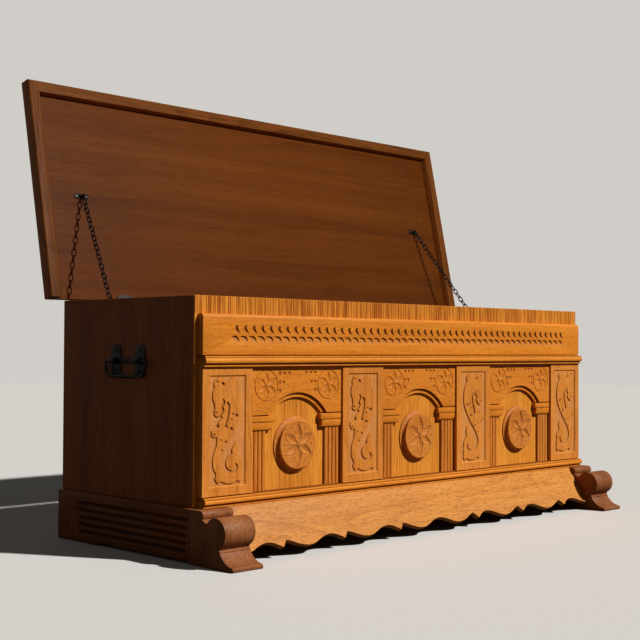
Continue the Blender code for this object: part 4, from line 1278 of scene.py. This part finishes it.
foot_side = [(gap, foot_top)] + arc(lobe_out, foot_top - lobe, lobe, 90, -50, 14) + [notch]
foot_side += arc(*bulge, bulge_radius, 145, -60, 30) + moved(neck_run, neck)
flare_u, flare_v = foot_side[-1]
foot_side += [(flare_u + (toe_reach - flare_u) * u, flare_v - (flare_v - toe_height) * v)
              for u, v in flare_share]
foot_side += [(toe_reach, toe_height * 0.7), (toe_reach, toe_soft), (toe_reach - toe_soft, 0), (gap, 0)]
outline = [(front_y - u, v) for u, v in foot_side]
for name in ("left_foot", "right_foot"):
    foot = ease(drawn(name.replace("_", "_scroll_"), outline, name), 2.2 * mm, 3, 60)
    hand_over(foot, foot_oak, "chest", "oak_side", name)

# %% [markdown]
# ## Runners
# The two runners carry the ends. Five long flutes are ploughed in the outer face of each,
# and at the back, where they stop, is a small chip-carved star with dust in its middle.
# The flutes are a row of round-ended rods cut out of the board.

# %% Runners with flutes and a star
flute_count, flute_step, flute_top, flute_radius, flute_sink = 5, 17.93 * mm, 98.7 * mm, 7.2 * mm, 3.2 * mm
flute_back, flute_front, dark_margin, dark_start, dark_full = 93 * mm, 532 * mm, 12 * mm, 0.6 * mm, 2.2 * mm
star_back, star_height, star_size, star_waist, star_sink, star_dust = (
    42 * mm, 33 * mm, 22 * mm, 0.42, 4.2 * mm, 3 * mm)
pad_length, pad_slope, runner_lift = 176 * mm, 4 * mm, 7 * mm
rear_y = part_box("left_runner")[1].y
sides = (("left", -1), ("right", 1))


def rod(length, radius, around=20, dome=5):
    """A round-ended rod along Y."""
    turns = [pi / 2 * k / dome for k in range(1, dome + 1)]
    near, far = ([(sin(t) * radius, end + sign * cos(t) * radius) for t in turns]
                 for end, sign in ((0, -1), (length, 1)))
    return sweep([[(u, y, v) for u, v in ring((0, 0), r, around)] for r, y in near + far[::-1]])


def star_cutter(face_x, outward, centre):
    """Eight thin chips that meet in a point under the surface."""
    bm = bmesh.new()
    points, waists = (ring(centre, size, 16) for size in (star_size, star_size * star_waist))
    rim = [bm.verts.new((face_x + outward * 1.0 * mm, *(points, waists)[k % 2][k])) for k in range(16)]
    deep = bm.verts.new((face_x - outward * star_sink, *centre))
    for k in range(16):
        bm.faces.new((rim[k], rim[(k + 1) % 16], deep))
    bm.faces.new(list(reversed(rim)))
    bmesh.ops.recalc_face_normals(bm, faces=bm.faces)
    return loose("star", bm)


for side, outward in sides:
    low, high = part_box(side + "_runner")
    face_x = low.x if outward < 0 else high.x
    pad = rear_y - pad_length
    outline = [(low.y, runner_lift), (pad, runner_lift), (pad + pad_slope, 0), (rear_y, 0), (rear_y, high.z),
               (low.y, high.z)]
    runner = ease(drawn(side + "_fluted_runner", outline, side + "_runner"), 1.4 * mm, 2, 30)
    flute = loose("flute", rod(flute_front - flute_back - 2 * flute_radius, flute_radius))
    start = (face_x + outward * (flute_radius - flute_sink), rear_y - flute_front + flute_radius, flute_top)
    cut(runner, row("flutes", flute, flute_count, start, (0, 0, -flute_step)))
    star = (rear_y - star_back, star_height)
    cut(runner, star_cutter(face_x, outward, star))
    # Painted shade: the flutes darken towards their bottoms, inside a margin at each edge.
    mark_depth(runner, lambda p: (abs(face_x) - np.abs(p[:, 0]) - dark_start) / dark_full
               * (np.abs(p[:, 0]) > abs(face_x) - flute_sink - 0.2 * mm) * (p[:, 2] > dark_margin)
               * (p[:, 2] < high.z - dark_margin) * (p[:, 1] < rear_y - flute_back + 1 * mm))
    mark_depth(runner, lambda p: distance(p, (face_x - outward * star_sink, *star)) < star_dust, "dust")
    hand_over(runner, runner_oak, "chest", "oak_side", side + "_runner")

# %% [markdown]
# ## The lid's rim
# Three rails frame the lid and meet in mitres at the front corners. Their outer edges
# are well rounded, where hands have lifted the lid for years. They are drawn with the lid
# shut, where every line is level, and then turned open about the hinge line.

# %% Lid rails
lid_half, lid_reach, rail_width = 822.5 * mm, 598 * mm, 31 * mm
rail_top, rail_low, back_edge = 14.2 * mm, -23.6 * mm, -5 * mm
outer_round, inner_round = 5 * mm, 1.5 * mm
back_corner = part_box("back_panel")[1]
hinge_line = Vector((0, back_corner.y + 5 * mm, back_corner.z))
open_lid = Matrix.Translation(hinge_line) @ Matrix.Rotation(-lean_angle, 4, "X")
rail_section = []
for edge, radius, start, steps in ((rail_low, outer_round, 180, 6), (rail_low, inner_round, -90, 3),
                                   (rail_top, inner_round, 0, 3), (rail_top, outer_round, 90, 6)):
    u = radius if radius == outer_round else rail_width - radius
    v = edge + radius if edge == rail_low else edge - radius
    rail_section += arc(u, v, radius, start, start + 90, steps)


def lid_rail(name, rings, finish, solid):
    rail = loose(name, sweep(rings))
    rail.data.transform(open_lid)
    hand_over(rail, finish, "lid", "oak_rail", solid)


for side, sign in sides:
    lid_rail(f"lid_{side}_rim", [[(sign * (lid_half - u), back_edge, v) for u, v in rail_section],
                                 [(sign * (lid_half - u), -lid_reach + u + gap, v) for u, v in rail_section]],
             side_rail_oak, f"lid_{side}_rail")
lid_rail("lid_front_rim", [[(sign * (lid_half - gap - u), -lid_reach + u, v) for u, v in rail_section]
                           for sign in (-1, 1)], rail_oak, "lid_front_rail")

# %% [markdown]
# ## Handle plates
# On each end is a blackened iron plate with two wide lobes, held by four screws. The
# plate is cut from sheet, so its edges are only broken. Two bored eyes stand on it.

# %% Handle plates
handle_height, eye_spacing, plate_thick = 459 * mm, 98 * mm, 2.5 * mm
lobe_wide, lobe_tall, bridge_tall, screw_rise = 40 * mm, 84 * mm, 16 * mm, 25 * mm
eye_radius, eye_length, eye_out, bail_thick, bore_play = 7.5 * mm, 18 * mm, 10.5 * mm, 3.6 * mm, 0.4 * mm
plate_low, plate_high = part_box("left_handle_plate")
handle_y = (plate_low.y + plate_high.y) / 2
side_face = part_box("right_side_panel")[1].x
lobe_share = ((-1.0, 0.30), (-1.04, 0.50), (-1.0, 0.70), (-0.80, 0.86), (-0.45, 0.90), (-0.18, 0.94),
              (0.0, 1.0), (0.18, 0.94), (0.45, 0.90), (0.80, 0.86), (1.0, 0.70), (1.04, 0.50), (1.0, 0.30))
quarter = [(eye_spacing / 2 - lobe_wide / 2 - 2 * mm, bridge_tall / 2)]
quarter += [(eye_spacing / 2 + lobe_wide / 2.04 * u, lobe_tall / 2 * v) for u, v in lobe_share]
right_half = quarter + [(u, -v) for u, v in reversed(quarter)]
plate_line = right_half + [(-u, -v) for u, v in right_half]


def eye_ring(outward, centre_y):
    """A barrel rooted in the plate, bored for the handle's end."""
    root, centre = side_face + gap + plate_thick / 2, side_face + eye_out
    outer = [(root, -eye_radius), *arc(centre, 0, eye_radius, -90, 90, 16), (root, eye_radius)]
    barrel = section([(outward * u, handle_height + v) for u, v in outer], "y", centre_y - eye_length / 2,
                     centre_y + eye_length / 2)
    bore = section(ring((outward * centre, handle_height), bail_thick + bore_play, 18), "y", handle_y - 0.2,
                   handle_y + 0.2)
    return cut(ease(loose("eye", barrel), 0.8 * mm), loose("bore", bore))


def screw_seed(radius, height, slot_width):
    """A round-head screw that looks along Z, with a straight slot."""
    turns = [pi / 2 * k / 4 for k in range(1, 4)]
    profile = [(radius, 0)] + [(radius * cos(t), height * sin(t)) for t in turns] + [(radius * 0.12, height)]
    head = loose("screw", sweep([[(u, v, h) for u, v in ring((0, 0), r, 16)] for r, h in profile]))
    slot = rectangle(-radius * 1.2, height * 0.55, radius * 1.2, height * 1.5)
    return cut(head, loose("slot", section(slot, "y", -slot_width / 2, slot_width / 2)))


for side, outward in sides:
    outline = moved(plate_line, (handle_y, handle_height))
    ends = sorted((outward * (side_face + gap), outward * (side_face + gap + plate_thick)))
    plate = ease(loose(side + "_handle_iron", section(outline, "x", *ends)), 0.5 * mm)
    eyes = [eye_ring(outward, handle_y + end * eye_spacing / 2) for end in (-1, 1)]
    head_x = outward * (side_face + gap + plate_thick - 0.2 * mm)
    spots = [((head_x, handle_y + end * eye_spacing / 2, handle_height + rise * screw_rise),
              (rise * 0.7 + end, outward * pi / 2, 0)) for end in (-1, 1) for rise in (-1, 1)]
    screws = copies_on("screws", screw_seed(3.6 * mm, 1.8 * mm, 0.8 * mm), spots, black_iron)
    hand_over(join(plate, *eyes, screws), black_iron, "chest", "black_iron", side + "_handle_plate", crisp=34)

# %% [markdown]
# ## Drop handles
# The handle is a round bar that hangs from the two eyes and swings in them. It is thicker
# in the middle, where the hand takes it.

# %% Drop handles
def bar(points, radii, around, flat, closed=False):
    """A round bar through points in a plane square to flat, with its own radius at each point."""
    flat, path, rings = Vector(flat), [Vector(p) for p in points], []
    for n, here in enumerate(path):
        along = (at(path, n + 1, closed) - at(path, n - 1, closed)).normalized()
        across = along.cross(flat).normalized()
        rings.append([here + (across * u + flat * v) * radii[n] for u, v in ring((0, 0), 1, around)])
    return sweep(rings, closed)


bail_half, bail_drop, bail_corner = 81 * mm, 38 * mm, 23.5 * mm
grip_swell, grip_reach = 0.28, 60 * mm
shoulder, pin_end = bail_thick * 2, eye_spacing / 2 - eye_length / 2
half = [(pin_end, 0), (pin_end + 0.5 * eye_length, 0), (pin_end + eye_length, 0)]
half += arc(bail_half - shoulder, -shoulder, shoulder, 90, 0, 7)
half += arc(bail_half - bail_corner, -bail_drop + bail_corner, bail_corner, 0, -90, 12)
path = half + [(u, -bail_drop) for u in (45 * mm, 30 * mm, 15 * mm, 0)]
path += [(-u, v) for u, v in reversed(path[:-1])]
radii = [bail_thick * (1 + grip_swell * max(0, 1 - abs(u) / grip_reach) * (v < -bail_drop + 1 * mm))
         for u, v in path]
for side, outward in sides:
    pivot_x = outward * (side_face + eye_out)
    handle = bar([(pivot_x, handle_y + u, handle_height + v) for u, v in path], radii, 14, (1, 0, 0))
    hand_over(loose(side + "_drop_handle", handle), black_iron, side + "_bail", "black_iron", side + "_bail",
              crisp=40)

# %% [markdown]
# ## Lid chains
# A chain on each side keeps the lid from falling back. It hangs from a staple under the
# lid and ends on a screw in the end board. The links are oval rings of round wire, each
# turned a quarter to the next, so one link is made and the copies tree threads them along
# the straight line from staple to screw. The links above the knee ride one body, and
# those below it ride the other.

# %% Chain links
link_wire, link_inside, link_gap, link_pitch, wire_share = 3 * mm, 16 * mm, 8.4 * mm, 16 * mm, 0.58
upper_links, lower_links = 17, 12
staple_reach, staple_drop, staple_bar = 292 * mm, 8.5 * mm, 2 * mm
station, anchor_x, anchor_shank = 681 * mm, 749.3 * mm, 2.2 * mm
staple_bar_place = open_lid @ Vector((0, -staple_reach, -staple_drop))
anchor_low, anchor_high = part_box("right_chain_anchor")
anchor_place = (anchor_low + anchor_high) / 2
bend = (link_gap + link_wire) / 2
straight = (link_inside + link_wire) / 2 - bend
link_path = arc(0, straight, bend, 0, 180, 6) + arc(0, -straight, bend, 180, 360, 6)
link_seed = loose("link", bar([(u, 0, v) for u, v in link_path], [link_wire * wire_share] * len(link_path), 8,
                              (0, 1, 0), closed=True))
count = upper_links + lower_links
for side, sign in sides:
    top = Vector((sign * station, *staple_bar_place.yz))
    end = Vector((sign * anchor_x, *anchor_place.yz))
    run, down = (end - top).length, (end - top).normalized()
    first, last = link_pitch / 2 - staple_bar, run - (link_pitch / 2 - anchor_shank)
    spots = []
    for n in range(count):
        across = Vector((1, 0, 0)) - down * down.x
        flat = across.normalized() if n % 2 == 0 else (-down).cross(across).normalized()
        turned = Matrix((flat.cross(-down), flat, -down)).transposed()
        spots.append((top + down * (first + (last - first) * n / (count - 1)), tuple(turned.to_euler())))
    for part, some in (("upper", spots[:upper_links]), ("lower", spots[upper_links:])):
        links = copies_on(f"{side}_{part}_links", link_seed, some, black_iron, keep=True)
        hand_over(links, black_iron, f"{side}_{part}_run", "black_iron", f"{side}_chain_{part}", crisp=50)
    print(side, "chain:", count, "links at a pitch of", round((last - first) / (count - 1) / mm, 2), "mm")
drop(link_seed)

# %% [markdown]
# ## Staples and anchor screws
# A staple under the lid holds the top of each chain: a thin plate with a hoop of round
# bar, and two bright screws. The anchor is a turned steel screw in the end board: a wide
# foot, a thin shank that the last link rides on, and a slotted head.

# %% Staples and anchor screws
staple_thick, staple_screw, anchor_face = 2 * mm, 15 * mm, 755.5 * mm
staple_line = ((-21.6, 0), (-20, -6), (-12, -7), (0, -7), (12, -7), (20, -6), (21.6, 0), (20, 6), (12, 7),
               (0, 7), (-12, 7), (-20, 6))
anchor_profile = in_mm((
    (0.01, 0.3), (6.0, 0.3), (6.0, 3.4), (5.6, 4.0), (4.0, 4.3), (2.2, 4.3), (2.2, 8.1), (5.3, 8.1),
    (5.5, 8.6), (5.1, 9.6), (3.8, 10.4), (2.0, 10.65), (0.01, 10.7)))
slot_low, slot_high, slot_half, slot_reach = 9.6 * mm, 12 * mm, 0.5 * mm, 8 * mm
hoop_half, hoop_root, hoop_corner = 9 * mm, -1 * mm, staple_bar * 1.6
half = [(hoop_half, hoop_root)]
half += arc(hoop_half - hoop_corner, -staple_drop + hoop_corner, hoop_corner, 0, -90, 6)
hoop_path = half + [(-u, v) for u, v in reversed(half)]
for side, sign in sides:
    centre = sign * station
    outline = rounded([(centre + u * mm, -staple_reach + v * mm) for u, v in staple_line], 3)
    plate = ease(loose(side + "_staple_iron", section(outline, "z", -staple_thick, 0)), 0.4 * mm)
    hoop = loose("hoop", bar([(centre + u, -staple_reach, v) for u, v in hoop_path],
                             [staple_bar] * len(hoop_path), 12, (0, 1, 0)))
    spots = [((centre + end * staple_screw, -staple_reach, -1.9 * mm), (pi, 0, end * 0.6)) for end in (-1, 1)]
    screws = copies_on(side + "_staple_screws", screw_seed(2.8 * mm, 1.4 * mm, 0.7 * mm), spots, screw_steel)
    screws.data.transform(open_lid)
    hand_over(screws, screw_steel, "lid", "bright_steel", crisp=36)
    staple = join(plate, hoop)
    staple.data.transform(open_lid)
    hand_over(staple, black_iron, "lid", "black_iron", side + "_chain_staple", crisp=36)

    face, centre = sign * anchor_face, anchor_place.yz
    anchor = loose(side + "_anchor_steel", sweep([[(face - sign * h, u, v) for u, v in ring(centre, r, 24)]
                                                  for r, h in anchor_profile]))
    slot = rectangle(face - sign * slot_low, centre.x - slot_half, face - sign * slot_high,
                     centre.x + slot_half)
    cut(anchor, loose("slot", section(slot, "z", centre.y - slot_reach, centre.y + slot_reach)))
    hand_over(anchor, bright_steel, "chest", "bright_steel", side + "_chain_anchor", crisp=36)

# %% [markdown]
# ## Hinge screws
# Each hinge leaf is held by three countersunk screws, whose heads lie flush in the steel.
# The same copies tree sets them: on the leaf of the back board, and on the lid's leaf.

# %% Hinge screws
hinge_station, slot_turn, body_flush, lid_flush = 577 * mm, 40, 2.95 * mm, 1.75 * mm
leaf_spots = [(sign * hinge_station + shift, fall, shift * slot_turn) for sign in (-1, 1)
              for shift, fall in in_mm(((-16, -14), (0, -11), (16, -14)))]
on_body = [((u, hinge_line.y - body_flush, hinge_line.z + v), (-pi / 2, spin, 0))
           for u, v, spin in leaf_spots]
on_lid = [((u, v, -lid_flush), (pi, 0, spin)) for u, v, spin in leaf_spots]
for part, body, spots in (("body", "chest", on_body), ("lid", "lid", on_lid)):
    screws = copies_on(f"{part}_hinge_screws", screw_seed(2.9 * mm, 0.25 * mm, 0.7 * mm), spots, bright_steel)
    if body == "lid":
        screws.data.transform(open_lid)
    hand_over(screws, bright_steel, body, "bright_steel", crisp=36)

# %% [markdown]
# ## Which lamp lights what
# In the photograph the key light is shuttered below the lid, and the light from above
# reaches only the lid. Light linking does the same here: the key lamp leaves out the lid
# and what hangs from it, and the front lamp lights only those.

# %% Share out the lamps
lid_pieces = [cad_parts[name] for name in ("lid_panel", "left_hinge_lid_leaf", "right_hinge_lid_leaf")]
for body in ("lid", "left_upper_run", "right_upper_run", "left_lower_run", "right_lower_run"):
    lid_pieces += riders[body]
for lamp, state in ((key_lamp, "EXCLUDE"), (front_lamp, "INCLUDE")):
    share = bpy.data.collections.new(lamp.name + " share")
    for piece in lid_pieces:
        share.objects.link(piece)
    for entry in share.collection_objects:
        entry.light_linking.link_state = state
    lamp.light_linking.receiver_collection = share
print("pieces in the front lamp's light:", len(lid_pieces))
